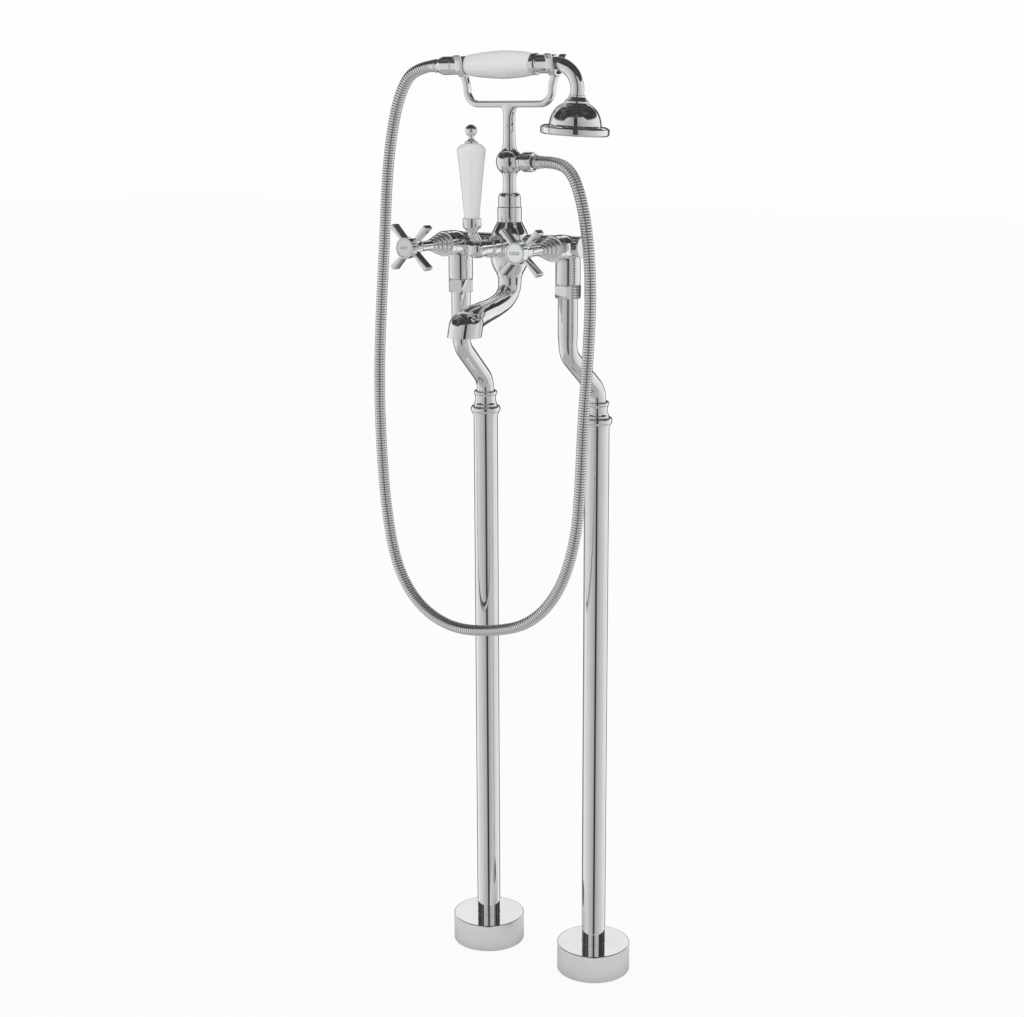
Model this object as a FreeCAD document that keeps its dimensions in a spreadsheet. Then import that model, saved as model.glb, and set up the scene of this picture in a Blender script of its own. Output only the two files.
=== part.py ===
"""Floor standing bath filler: two standpipes, cranked legs, a bath and shower mixer with cross
handles and a lever diverter, a down-turned spout, and a handset on its cradle with a ribbed hose.

Millimetres. X runs from the hot side to the cold side, the spout points along -Y, Z is up and the
floor is Z = 0. The origin is on the floor, midway between the two standpipes."""

import FreeCAD
import Part
import Sketcher
import math
import os

from FreeCAD import Placement, Rotation, Vector

OUT = "parts"
os.makedirs(OUT, exist_ok=True)
doc = FreeCAD.newDocument("bath_filler")
sheet = doc.addObject("Spreadsheet::Sheet", "Sizes")

# ---------------------------------------------------------------- driving dimensions

DRIVING = {
    # layout
    "pipe_spacing": 150.0,
    "inlet_spacing": 140.0,
    "barrel_reach": 55.0,
    "hub_reach": 62.0,
    "barrel_height": 859.0,
    "running_fit": 0.05,
    "loose_fit": 0.3,
    # floor flange, its screws and the cover over it
    "flange_dia": 72.0,
    "flange_plate": 24.0,
    "flange_seat": 12.0,
    "flange_hub_dia": 44.0,
    "flange_hub_height": 29.0,
    "fixing_circle": 57.0,
    "fixing_hole": 5.5,
    "fixing_head": 10.5,
    "fixing_head_depth": 3.0,
    "cover_dia": 86.0,
    "cover_height": 33.0,
    "cover_wall": 2.0,
    "cover_edge": 1.2,
    # standpipe and the supply pipe inside it
    "pipe_dia": 28.0,
    "pipe_wall": 1.5,
    "feed_dia": 15.0,
    "feed_wall": 1.0,
    "feed_lift": 3.0,
    "feed_stand": 20.0,
    # collar and reducer nut on top of the standpipe
    "collar_dia": 34.5,
    "collar_socket": 6.0,
    "collar_height": 10.0,
    "reducer_dia": 27.0,
    "reducer_waist": 23.6,
    "reducer_height": 18.0,
    "reducer_lip": 5.0,
    "olive_height": 6.0,
    "olive_wall": 1.4,
    # cranked leg
    "leg_dia": 20.0,
    "leg_bore": 15.2,
    "leg_sleeve_dia": 21.6,
    "leg_sleeve_height": 43.0,
    "leg_taper": 11.2765,
    "leg_bend": 24.0,
    "leg_crank": 50.0,
    "leg_tail": 22.0,
    "leg_head_dia": 23.4,
    "leg_head_height": 3.5,
    # union nut and washer under each inlet
    "union_flats": 26.4,
    "union_height": 14.7,
    "union_floor": 1.5,
    "washer_height": 2.0,
    # mixer body
    "barrel_dia": 23.0,
    "barrel_overhang": 18.0,
    "barrel_bore": 13.0,
    "inlet_boss_dia": 27.0,
    "inlet_face": 40.0,
    "inlet_spigot_dia": 23.5,
    "inlet_spigot_height": 8.0,
    "inlet_bore": 13.0,
    "valve_boss_dia": 27.6,
    "valve_boss_reach": 25.0,
    "valve_socket_dia": 20.0,
    "valve_socket_back": 7.0,
    "hub_dia": 42.0,
    "hub_neck_dia": 26.0,
    "hub_top": 24.5,
    "hub_bottom": 35.0,
    "hub_belly": 10.0,
    "hub_bore": 16.0,
    "hub_spigot_dia": 20.0,
    "hub_spigot_height": 10.0,
    "diverter_boss_dia": 25.0,
    "diverter_boss_reach": 28.0,
    "diverter_socket_dia": 18.0,
    "diverter_socket_back": 12.0,
    # valve bonnet, cartridge, discs and spindle
    "bonnet_length": 32.0,
    "bonnet_front_dia": 13.6,
    "bonnet_socket": 14.0,
    "spindle_dia": 8.0,
    "spindle_flange": 3.6,
    "spindle_length": 90.0,
    "cartridge_length": 38.0,
    "ceramic_dia": 16.0,
    "ceramic_height": 3.0,
    "ceramic_port": 3.2,
    # cross handle
    "handle_front": 105.0,
    "bezel_dia": 22.8,
    "bezel_depth": 11.0,
    "core_dia": 16.0,
    "core_depth": 25.0,
    "stem_dia": 10.8,
    "blade_span": 64.0,
    "blade_depth": 12.0,
    "blade_root": 4.0,
    "blade_tip": 5.6,
    "blade_back": 8.0,
    "index_dia": 20.6,
    "index_depth": 2.0,
    "index_crown": 0.6,
    "screw_dia": 4.0,
    "screw_head_dia": 8.0,
    "screw_head_height": 3.0,
    "screw_length": 12.0,
    # diverter
    "diverter_bonnet_length": 29.0,
    "diverter_bonnet_dia": 22.0,
    "diverter_bonnet_front": 18.0,
    "plug_length": 22.0,
    "plug_port": 9.0,
    "lever_hub_dia": 20.0,
    "lever_hub_depth": 16.5,
    "lever_arm_dia": 9.0,
    "lever_lean": 8.0,
    "ferrule_base": 18.0,
    "ferrule_dia": 19.6,
    "ferrule_height": 14.0,
    "grip_foot_dia": 16.4,
    "grip_height": 77.0,
    "grip_dia": 29.6,
    "grip_shoulder": 6.5,
    "grip_bore": 6.0,
    "finial_ring_dia": 14.2,
    "finial_ball_dia": 12.6,
    "finial_height": 19.5,
    "grub_dia": 4.0,
    # spout
    "spout_neck_dia": 26.0,
    "spout_tube_dia": 21.8,
    "spout_wall": 2.0,
    "spout_reach": 88.0,
    "spout_drop": 56.5,
    "spout_mouth_dia": 38.6,
    "spout_skirt": 13.5,
    "spout_spigot_dia": 20.0,
    "spout_spigot_height": 7.0,
    "strainer_height": 3.0,
    "strainer_hole": 3.0,
    # shower column
    "column_collar_dia": 26.4,
    "column_collar_height": 16.0,
    "column_nut_dia": 24.4,
    "column_nut_height": 15.4,
    "column_neck_dia": 14.0,
    "column_flange": 3.5,
    "column_flange_dia": 19.0,
    "ball_dia": 29.0,
    "ball_height": 64.0,
    "ball_pin_dia": 9.0,
    "ball_pin_length": 10.0,
    "outlet_spigot_dia": 13.0,
    "outlet_spigot_length": 8.0,
    "fork_stem_dia": 13.4,
    "fork_height": 121.0,
    "fork_seat": 12.86,
    # cradle fork
    "fork_half_span": 54.0,
    "fork_thick": 7.0,
    "fork_deep": 8.4,
    "fork_corner": 15.0,
    "hook_wall": 3.0,
    "hook_width": 8.6,
    "hook_centre": 57.5,
    "hook_rise": 5.0,
    "hook_flare": 4.0,
    # handset
    "handset_rise": 190.0,
    "journal_dia": 19.4,
    "tail_length": 18.2,
    "grip_left": 52.8,
    "handset_grip_length": 83.2,
    "handset_grip_dia": 29.3,
    "handset_grip_left_dia": 21.2,
    "handset_grip_right_dia": 23.0,
    "handset_tube_dia": 12.0,
    "ring_dia": 22.6,
    "ring_length": 6.6,
    "journal_length": 21.5,
    "neck_dia": 14.3,
    "neck_bend": 26.5,
    "neck_turn": 94.0,
    "neck_drop": 7.0,
    "rose_collar_dia": 16.0,
    "rose_shoulder_dia": 25.0,
    "rose_dome_dia": 57.0,
    "rose_dia": 73.0,
    "rose_rim": 6.8,
    "rose_depth": 38.0,
    "rose_wall": 2.0,
    "rose_hole": 1.8,
    # hose
    "hose_dia": 12.5,
    "hose_groove": 0.9,
    "hose_bore": 8.0,
    "hose_ribs": 64.0,
    "hose_nut_length": 18.4,
    "hose_nut_dia": 21.2,
    "hose_nut_back_dia": 17.0,
    "crimp_length": 11.0,
    "crimp_dia": 13.4,
    "handset_nut_length": 18.5,
    "handset_nut_dia": 19.6,
}


class Size(float):
    """A length that also carries the spreadsheet formula it comes from."""

    def __new__(cls, value, formula):
        made = super().__new__(cls, value)
        made.formula = formula
        return made

    def __add__(self, other):
        return Size(float(self) + float(other), f"({self.formula} + {written(other)})")

    def __radd__(self, other):
        return Size(float(other) + float(self), f"({written(other)} + {self.formula})")

    def __sub__(self, other):
        return Size(float(self) - float(other), f"({self.formula} - {written(other)})")

    def __rsub__(self, other):
        return Size(float(other) - float(self), f"({written(other)} - {self.formula})")

    def __mul__(self, other):
        return Size(float(self) * float(other), f"({self.formula} * {written(other)})")

    def __rmul__(self, other):
        return Size(float(other) * float(self), f"({written(other)} * {self.formula})")

    def __truediv__(self, other):
        return Size(float(self) / float(other), f"({self.formula} / {written(other)})")

    def __neg__(self):
        return Size(-float(self), f"(-1 * {self.formula})")


def written(value):
    return value.formula if isinstance(value, Size) else repr(float(value))


class Sizes:
    """The sheet's aliases as attributes: S.pipe_dia is the number and its formula."""


S = Sizes()
for row, (alias, number) in enumerate(DRIVING.items(), start=1):
    sheet.set(f"A{row}", alias)
    sheet.set(f"B{row}", str(number))
    sheet.setAlias(f"B{row}", alias)
    setattr(S, alias, Size(number, f"Sizes.{alias}"))
doc.recompute()

# ---------------------------------------------------------------- helpers

BUILT = []
UPRIGHT = Rotation()
FORWARD = Rotation(Vector(1, 0, 0), 90)  # a part turned about Z lies along -Y, its top to the front
SIDEWAYS = Rotation(Vector(0, 1, 0), 90)  # a part turned about Z lies along +X


def bind(item, name, value):
    """Set a property and tie it to the sheet."""
    if isinstance(value, Size):
        item.setExpression(name, value.formula)


def place(item, x, y, z, rotation=UPRIGHT):
    item.Placement = Placement(Vector(x, y, z), rotation)
    for axis, value in zip("xyz", (x, y, z)):
        bind(item, f"Placement.Base.{axis}", value)


def sub_part(label, x=0.0, y=0.0, z=0.0, rotation=UPRIGHT):
    body = doc.addObject("PartDesign::Body", label)
    body.Label = label
    place(body, x, y, z, rotation)
    BUILT.append(body)
    return body


def origin_plane(body, role):
    return next(f for f in body.Origin.OriginFeatures if f.Role == role)


class Via(tuple):
    """A point that an arc passes through, between two corners of an outline."""


def via(x, y):
    return Via((x, y))


def sketch(body, role, outline, offset=0.0, closed=True):
    """A closed outline of lines and arcs on one of the body's planes, its points tied to the sheet."""
    drawn = body.newObject("Sketcher::SketchObject", "Outline")
    drawn.AttachmentSupport = (origin_plane(body, role), [""])
    drawn.MapMode = "FlatFace"
    drawn.AttachmentOffset = Placement(Vector(0, 0, offset), UPRIGHT)
    bind(drawn, "AttachmentOffset.Base.z", offset)
    corners = []
    arcs = {}
    for step in outline:
        if isinstance(step, Via):
            arcs[len(corners) - 1] = step
        else:
            corners.append(step)
    spans = len(corners) if closed else len(corners) - 1
    ends = []
    for i in range(spans):
        start = Vector(*corners[i], 0)
        end = Vector(*corners[(i + 1) % len(corners)], 0)
        if i in arcs:
            edge = drawn.addGeometry(Part.Arc(start, Vector(*arcs[i], 0), end))
            first_is_start = drawn.getPoint(edge, 1).distanceToPoint(start) < 1e-6
            ends.append((edge, 1, 2) if first_is_start else (edge, 2, 1))
            middle = drawn.addGeometry(Part.Point(Vector(*arcs[i], 0)), True)
            drawn.addConstraint(Sketcher.Constraint("PointOnObject", middle, 1, edge))
            tie(drawn, middle, 1, arcs[i])
        else:
            edge = drawn.addGeometry(Part.LineSegment(start, end))
            ends.append((edge, 1, 2))
    for i, (edge, first, last) in enumerate(ends):
        tie(drawn, edge, first, corners[i])
        if closed or i + 1 < len(ends):
            after, after_first, _ = ends[(i + 1) % len(ends)]
            join = Sketcher.Constraint("Coincident", edge, last, after, after_first)
            drawn.addConstraint(join)
        else:
            tie(drawn, edge, last, corners[-1])
    return drawn


def tie(drawn, edge, end, corner):
    """Hold a point of a sketch at its two coordinates."""
    for kind, value in zip(("DistanceX", "DistanceY"), corner):
        hold = Sketcher.Constraint(kind, -1, 1, edge, end, float(value))
        number = drawn.addConstraint(hold)
        bind(drawn, f"Constraints[{number}]", value)


def turned(label, outline, x=0.0, y=0.0, z=0.0, rotation=UPRIGHT):
    """A body of revolution about its own Z: the outline holds (radius, height) corners."""
    body = sub_part(label, x, y, z, rotation)
    revolve(body, outline)
    return body


def revolve(body, outline, kind="PartDesign::Revolution", role="XZ_Plane", axis="V_Axis"):
    drawn = sketch(body, role, outline)
    turn = body.newObject(kind, "Turn")
    turn.Profile = drawn
    turn.ReferenceAxis = (drawn, [axis])
    turn.Angle = 360
    doc.recompute()
    return turn


def rod(body, kind, radius, length, x, y, z, rotation=UPRIGHT):
    """An additive or subtractive cylinder inside a body, its foot at x, y, z."""
    made = body.newObject(f"PartDesign::{kind}Cylinder", "Rod")
    made.Radius = radius
    made.Height = length
    bind(made, "Radius", radius)
    bind(made, "Height", length)
    place(made, x, y, z, rotation)
    doc.recompute()
    return made


def pad(body, drawn, height, midplane=False, kind="PartDesign::Pad", reverse=False):
    made = body.newObject(kind, "Block")
    made.Profile = drawn
    made.Length = height
    bind(made, "Length", height)
    made.Midplane = midplane
    made.Reversed = reverse
    doc.recompute()
    return made


def around(body, features, count, axis="Z_Axis"):
    made = body.newObject("PartDesign::PolarPattern", "Round")
    made.Originals = features
    made.Axis = (origin_plane(body, axis), [""])
    made.Angle = 360
    made.Occurrences = count
    body.Tip = made
    doc.recompute()
    return made


def cosine(angle):
    return Size(math.cos(math.radians(angle)), f"cos({written(angle)} * 1 deg)")


def sine(angle):
    return Size(math.sin(math.radians(angle)), f"sin({written(angle)} * 1 deg)")


def root(value):
    return Size(math.sqrt(value), f"sqrt({written(value)})")


def rings(body, role, radii, x=0.0, y=0.0, offset=0.0):
    """Circles round one centre on one of the body's planes."""
    drawn = body.newObject("Sketcher::SketchObject", "Rings")
    drawn.AttachmentSupport = (origin_plane(body, role), [""])
    drawn.MapMode = "FlatFace"
    drawn.AttachmentOffset = Placement(Vector(0, 0, offset), UPRIGHT)
    bind(drawn, "AttachmentOffset.Base.z", offset)
    for radius in radii:
        circle = drawn.addGeometry(Part.Circle(Vector(x, y, 0), Vector(0, 0, 1), radius))
        tie(drawn, circle, 3, (x, y))
        hold = Sketcher.Constraint("Radius", circle, float(radius))
        bind(drawn, f"Constraints[{drawn.addConstraint(hold)}]", radius)
    return drawn


def rounded_rectangle(x, y, wide, deep, corner):
    """Outline of a rectangle centred on x, y with round corners."""
    left, right = x - wide / 2, x + wide / 2
    near, far = y - deep / 2, y + deep / 2
    turn = corner * (1 - math.sqrt(0.5))
    return [
        (left + corner, near), (right - corner, near), via(right - turn, near + turn),
        (right, near + corner), (right, far - corner), via(right - turn, far - turn),
        (right - corner, far), (left + corner, far), via(left + turn, far - turn),
        (left, far - corner), (left, near + corner), via(left + turn, near + turn),
    ]


def pipe(body, profile, spine, kind="Additive"):
    made = body.newObject(f"PartDesign::{kind}Pipe", "Tube")
    made.Profile = profile
    edges = [f"Edge{i + 1}" for i in range(len(spine.Shape.Edges))]
    made.Spine = (spine, edges)
    doc.recompute()
    return made


def crank(shift, bend, angle, tail, head):
    """A path that rises, leans over by an angle and rises again, `shift` further out.

    Returns its points and the height at which it is upright again."""
    lean = (shift - 2 * bend * (1 - cosine(angle))) / sine(angle)
    rise = tail + 2 * bend * sine(angle) + lean * cosine(angle)
    half = angle / 2
    points = [
        (0.0, 0.0), (0.0, tail),
        via(bend * (1 - cosine(half)), tail + bend * sine(half)),
        (bend * (1 - cosine(angle)), tail + bend * sine(angle)),
        (shift - bend * (1 - cosine(angle)), rise - bend * sine(angle)),
        via(shift - bend * (1 - cosine(half)), rise - bend * sine(half)),
        (shift, rise), (shift, rise + head),
    ]
    return points, rise


# ---------------------------------------------------------------- floor flange, cover, pipes

half_pipes = S.pipe_spacing / 2
half_inlets = S.inlet_spacing / 2
pipe_r = S.pipe_dia / 2
socket_r = pipe_r + S.running_fit
feed_r = S.feed_dia / 2


def floor_flange(side, x):
    rim = S.flange_dia / 2
    hub = S.flange_hub_dia / 2
    hole = feed_r + S.running_fit
    flange = turned(f"{side}_floor_flange", [
        (hole, 0.0), (rim, 0.0), (rim, S.flange_plate - 1), (rim - 1, S.flange_plate),
        (hub, S.flange_plate), (hub, S.flange_hub_height), (socket_r, S.flange_hub_height),
        (socket_r, S.flange_seat), (hole, S.flange_seat),
    ], x)
    circle = S.fixing_circle / 2
    shank = rod(flange, "Subtractive", S.fixing_hole / 2, S.flange_plate, circle, 0.0, 0.0)
    seat = S.flange_plate - S.fixing_head_depth
    head = rod(flange, "Subtractive", S.fixing_head / 2, S.fixing_head_depth, circle, 0.0, seat)
    around(flange, [shank, head], 3)


def base_cover(side, x):
    rim = S.cover_dia / 2
    hole = pipe_r + 2 * S.running_fit
    under = S.cover_height - S.cover_wall
    inner = rim - S.cover_wall
    edge = S.cover_edge
    turned(f"{side}_base_cover", [
        (inner, 0.0), (rim, 0.0), (rim, S.cover_height - edge),
        via(rim - 0.3 * edge, S.cover_height - 0.3 * edge), (rim - edge, S.cover_height),
        (hole, S.cover_height), (hole, under), (inner, under),
    ], x)


def standpipe(side, x):
    inner = pipe_r - S.pipe_wall
    turned(f"{side}_standpipe", [
        (inner, S.flange_seat), (pipe_r, S.flange_seat), (pipe_r, pipe_top), (inner, pipe_top),
    ], x)


def feed_pipe(side, x):
    inner = feed_r - S.feed_wall
    turned(f"{side}_feed_pipe", [
        (inner, S.feed_lift), (feed_r, S.feed_lift), (feed_r, feed_top), (inner, feed_top),
    ], x)


# ---------------------------------------------------------------- collar, reducer nut, cranked leg

leg_r = S.leg_dia / 2
leg_hole = leg_r + S.running_fit
inlet_face_z = S.barrel_height - S.inlet_face
spigot_end_z = inlet_face_z - S.inlet_spigot_height
leg_top_z = spigot_end_z - S.washer_height
leg_shift = root((half_pipes - half_inlets) * (half_pipes - half_inlets) + S.barrel_reach * S.barrel_reach)
leg_points, leg_rise = crank(leg_shift, S.leg_bend, S.leg_crank, S.leg_tail, 1.0)
leg_length = leg_rise + S.leg_taper + S.leg_sleeve_height
leg_foot = leg_top_z - leg_length
pipe_top = leg_foot - 1
feed_top = pipe_top + S.feed_stand
collar_base = pipe_top - S.collar_socket
reducer_base = collar_base + S.collar_height


def pipe_collar(side, x):
    bead = S.collar_dia / 2
    step = bead - 2.2
    top = S.collar_height
    turned(f"{side}_pipe_collar", [
        (socket_r, 0.0), (step, 0.0), (step, 2.4), (bead - 1.2, 2.6),
        via(bead, 2.6 + (top - 2.6) / 2), (bead - 1.2, top),
        (leg_hole, top), (leg_hole, S.collar_socket), (socket_r, S.collar_socket),
    ], x, 0.0, collar_base)


def reducer_nut(side, x):
    wide = S.reducer_dia / 2
    waist = S.reducer_waist / 2
    top = S.reducer_height
    lip = top - S.reducer_lip
    cavity = leg_hole + S.olive_wall + 0.1
    turned(f"{side}_reducer_nut", [
        (cavity, 0.0), (wide, 0.0), (wide, 2.0), via(waist, 2.0 + (lip - 2.0) / 2), (wide - 0.9, lip),
        via(wide, lip + S.reducer_lip / 2), (wide - 0.9, top),
        (leg_hole, top), (leg_hole, S.olive_height + 0.5), (cavity, S.olive_height + 0.5),
    ], x, 0.0, reducer_base)


def olive(side, x):
    outer = leg_hole + S.olive_wall
    high = S.olive_height
    turned(f"{side}_olive", [
        (leg_hole, 0.0), (outer - 0.8, 0.0), via(outer, high / 2), (outer - 0.8, high), (leg_hole, high),
    ], x, 0.0, reducer_base)


def cranked_leg(side, sign):
    x = sign * half_pipes
    toward = math.degrees(math.atan2(-S.barrel_reach, -sign * (half_pipes - half_inlets)))
    leg = sub_part(f"{side}_cranked_leg", x, 0.0, leg_foot, Rotation(Vector(0, 0, 1), toward))
    spine = sketch(leg, "XZ_Plane", leg_points, closed=False)
    doc.recompute()
    pipe(leg, rings(leg, "XY_Plane", [leg_r]), spine)
    sleeve_r = S.leg_sleeve_dia / 2
    sleeve_z = leg_rise + S.leg_taper
    taper = leg.newObject("PartDesign::AdditiveCone", "Taper")
    for name, value in (("Radius1", leg_r), ("Radius2", sleeve_r), ("Height", S.leg_taper)):
        setattr(taper, name, value)
        bind(taper, name, value)
    place(taper, leg_shift, 0.0, leg_rise)
    rod(leg, "Additive", sleeve_r, S.leg_sleeve_height, leg_shift, 0.0, sleeve_z)
    head_z = leg_length - S.leg_head_height
    rod(leg, "Additive", S.leg_head_dia / 2, S.leg_head_height, leg_shift, 0.0, head_z)
    pipe(leg, rings(leg, "XY_Plane", [S.leg_bore / 2]), spine, "Subtractive")
    rod(leg, "Subtractive", S.leg_bore / 2, leg_length - leg_rise, leg_shift, 0.0, leg_rise)


def union_nut(side, x, turn):
    """Hexagon nut with its corners bevelled: it holds the leg's head up against the inlet."""
    nut = sub_part(f"{side}_union_nut", x, -S.barrel_reach, inlet_face_z - 0.3 - S.union_height,
                   Rotation(Vector(0, 0, 1), turn))
    corner = S.union_flats / math.sqrt(3)
    hexagon = [(corner * math.cos(math.radians(60 * i)), corner * math.sin(math.radians(60 * i)))
               for i in range(6)]
    pad(nut, sketch(nut, "XY_Plane", hexagon), S.union_height)
    flat = S.union_flats / 2 - 0.2
    out = corner + 1
    drop = (out - flat) * 0.5
    revolve(nut, [(flat, S.union_height), (out, S.union_height), (out, S.union_height - drop)],
            "PartDesign::Groove")
    revolve(nut, [(flat, 0.0), (out, 0.0), (out, drop)], "PartDesign::Groove")
    hole = S.leg_sleeve_dia / 2 + 2 * S.running_fit
    thread = S.inlet_spigot_dia / 2 + S.running_fit
    rod(nut, "Subtractive", hole, S.union_height, 0.0, 0.0, 0.0)
    rod(nut, "Subtractive", thread, S.union_height - S.union_floor, 0.0, 0.0, S.union_floor)


def union_washer(side, x):
    outer = S.leg_head_dia / 2 - 0.2
    inner = S.inlet_bore / 2 + 0.5
    turned(f"{side}_union_washer", [
        (inner, 0.0), (outer, 0.0), (outer, S.washer_height), (inner, S.washer_height),
    ], x, -S.barrel_reach, leg_top_z)


UNION_TURN = {"left": 7, "right": -5}
for side, sign in (("left", -1), ("right", 1)):
    x = sign * half_pipes
    floor_flange(side, x)
    base_cover(side, x)
    standpipe(side, x)
    feed_pipe(side, x)
    pipe_collar(side, x)
    reducer_nut(side, x)
    olive(side, x)
    cranked_leg(side, sign)
    union_nut(side, sign * half_inlets, UNION_TURN[side])
    union_washer(side, sign * half_inlets)

# ---------------------------------------------------------------- mixer body

valve_boss_r = S.valve_boss_dia / 2
valve_socket_r = S.valve_socket_dia / 2
hub_top_r = S.column_collar_dia / 2 + 0.6
hub_neck_r = S.hub_neck_dia / 2
barrel_y = S.hub_reach - S.barrel_reach


def mixer_body():
    """Barrel, two inlets, two valve bosses and the bulbous hub, cast in one, with its waterways."""
    body = sub_part("mixer_body", 0.0, -S.hub_reach, S.barrel_height)
    belly = S.hub_dia / 2
    revolve(body, [
        (0.0, -S.hub_bottom), (hub_neck_r, -S.hub_bottom), via(hub_neck_r + 5.2, -S.hub_bottom + 10.5),
        (belly, 5 - 2 * S.hub_belly), via(belly + 0.3, 5 - S.hub_belly), (belly, 5.0),
        via(belly - 2.4, 15.0), (hub_top_r, S.hub_top), (0.0, S.hub_top),
    ])
    half = half_inlets + S.barrel_overhang
    rod(body, "Additive", S.barrel_dia / 2, 2 * half, -half, barrel_y, 0.0, SIDEWAYS)
    for sign in (-1, 1):
        x = sign * half_inlets
        face = -S.inlet_face
        rod(body, "Additive", S.inlet_boss_dia / 2, S.inlet_face, x, barrel_y, face)
        drop = face - S.inlet_spigot_height
        rod(body, "Additive", S.inlet_spigot_dia / 2, S.inlet_spigot_height, x, barrel_y, drop)
        rod(body, "Additive", valve_boss_r, S.valve_boss_reach, x, barrel_y, 0.0, FORWARD)
    rod(body, "Additive", S.diverter_boss_dia / 2, S.diverter_boss_reach, 0.0, 0.0, 0.0, FORWARD)
    rod(body, "Additive", S.hub_spigot_dia / 2, S.hub_spigot_height, 0.0, 0.0, S.hub_top)
    rod(body, "Subtractive", S.barrel_bore / 2, S.inlet_spacing, -half_inlets, barrel_y, 0.0, SIDEWAYS)
    for sign in (-1, 1):
        x = sign * half_inlets
        bore = S.inlet_face + S.inlet_spigot_height
        rod(body, "Subtractive", S.inlet_bore / 2, bore, x, barrel_y, -bore)
        back = barrel_y + S.valve_socket_back
        reach = S.valve_socket_back + S.valve_boss_reach
        rod(body, "Subtractive", valve_socket_r, reach, x, back, 0.0, FORWARD)
    reach = S.diverter_socket_back + S.diverter_boss_reach
    rod(body, "Subtractive", S.diverter_socket_dia / 2, reach, 0.0, S.diverter_socket_back, 0.0, FORWARD)
    tall = S.hub_bottom + S.hub_top + S.hub_spigot_height
    rod(body, "Subtractive", S.hub_bore / 2, tall, 0.0, 0.0, -S.hub_bottom)
    seat = S.spout_spigot_height + 0.2
    rod(body, "Subtractive", spout_spigot_r + S.running_fit, seat, 0.0, 0.0, -S.hub_bottom)


# ---------------------------------------------------------------- hot and cold valves

spindle_r = S.spindle_dia / 2
spindle_hole = spindle_r + S.running_fit
stem_back = S.valve_boss_reach + S.bonnet_length + S.loose_fit
web_front = S.spindle_length + 5.3
web_back = S.spindle_length + 2.3
SOLID_RINGS = 4
CROSS_TURN = FORWARD.multiply(Rotation(Vector(0, 0, 1), 45))


def on_dome(radius, foot, top):
    """A point half way out on the sphere that spans `radius` at `foot` and closes at `top`."""
    rise = top - foot
    sphere = (radius * radius + rise * rise) / (2 * abs(rise))
    sag = math.sqrt(sphere * sphere - radius * radius / 4)
    return via(radius / 2, float(top) - math.copysign(sphere - sag, rise))


def at_valve(label, sign, outline, rotation=FORWARD):
    """A part turned about the valve's axis: heights are measured forward from the barrel's axis."""
    return turned(label, outline, sign * half_inlets, -S.barrel_reach, S.barrel_height, rotation)


def valve_bonnet(name, sign):
    """Plain band, then rounded steps that narrow to the front."""
    back = S.valve_boss_reach
    band = 9.0
    step = (S.bonnet_length - band) / SOLID_RINGS
    front_r = S.bonnet_front_dia / 2
    outline = [(valve_boss_r - 0.5, back), (valve_boss_r, back + 0.6), (valve_boss_r, back + band - 0.6)]
    for i in range(SOLID_RINGS):
        radius = front_r + (valve_boss_r - front_r) * ((SOLID_RINGS - 1 - i) / SOLID_RINGS)
        foot = back + band + i * step
        outline += [(radius - 0.7, foot), via(radius, foot + step / 2), (radius - 0.9, foot + step)]
    front = back + S.bonnet_length
    nose = S.bonnet_socket / 2 + S.running_fit
    inside = S.cartridge_length + 0.5
    outline += [(spindle_hole, front), (spindle_hole, inside), (nose, inside), (nose, back)]
    at_valve(f"{name}_valve_bonnet", sign, outline)


def valve_cartridge(name, sign):
    """Brass sleeve that holds the ceramic discs against the back of the socket."""
    outer = valve_socket_r - S.running_fit
    skirt = S.ceramic_dia / 2 + S.running_fit
    back = -S.valve_socket_back + 0.1
    shoulder = -S.valve_socket_back + 2 * S.ceramic_height + S.spindle_flange + 0.4
    front = S.valve_boss_reach - 0.1
    nose = S.bonnet_socket / 2
    cartridge = at_valve(f"{name}_valve_cartridge", sign, [
        (skirt, back), (outer, back), (outer, front), (nose, front), (nose, S.cartridge_length),
        (spindle_hole, S.cartridge_length), (spindle_hole, shoulder), (skirt, shoulder),
    ])
    rod(cartridge, "Subtractive", 2.8, S.valve_socket_dia, -valve_socket_r, 0.0, -1.5, SIDEWAYS)


def ceramic_disc(label, sign, back, twist=0):
    turn = FORWARD.multiply(Rotation(Vector(0, 0, 1), twist))
    disc = at_valve(label, sign, [
        (0.0, back), (S.ceramic_dia / 2, back), (S.ceramic_dia / 2, back + S.ceramic_height),
        (0.0, back + S.ceramic_height),
    ], turn)
    port = S.ceramic_port / 2
    hole = rod(disc, "Subtractive", port, S.ceramic_height, S.ceramic_dia / 4, 0.0, back)
    around(disc, [hole], 2)


def valve_spindle(name, sign):
    back = -S.valve_socket_back + 2 * S.ceramic_height + 0.15
    flange = S.ceramic_dia / 2 - 0.1
    spindle = at_valve(f"{name}_valve_spindle", sign, [
        (0.0, back), (flange, back), (flange, back + S.spindle_flange), (spindle_r, back + S.spindle_flange),
        (spindle_r, S.spindle_length - 0.5), (spindle_r - 0.5, S.spindle_length), (0.0, S.spindle_length),
    ])
    deep = S.screw_length + 1
    tapped = S.screw_dia / 2 + S.running_fit
    rod(spindle, "Subtractive", tapped, deep, 0.0, 0.0, S.spindle_length - deep)


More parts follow.
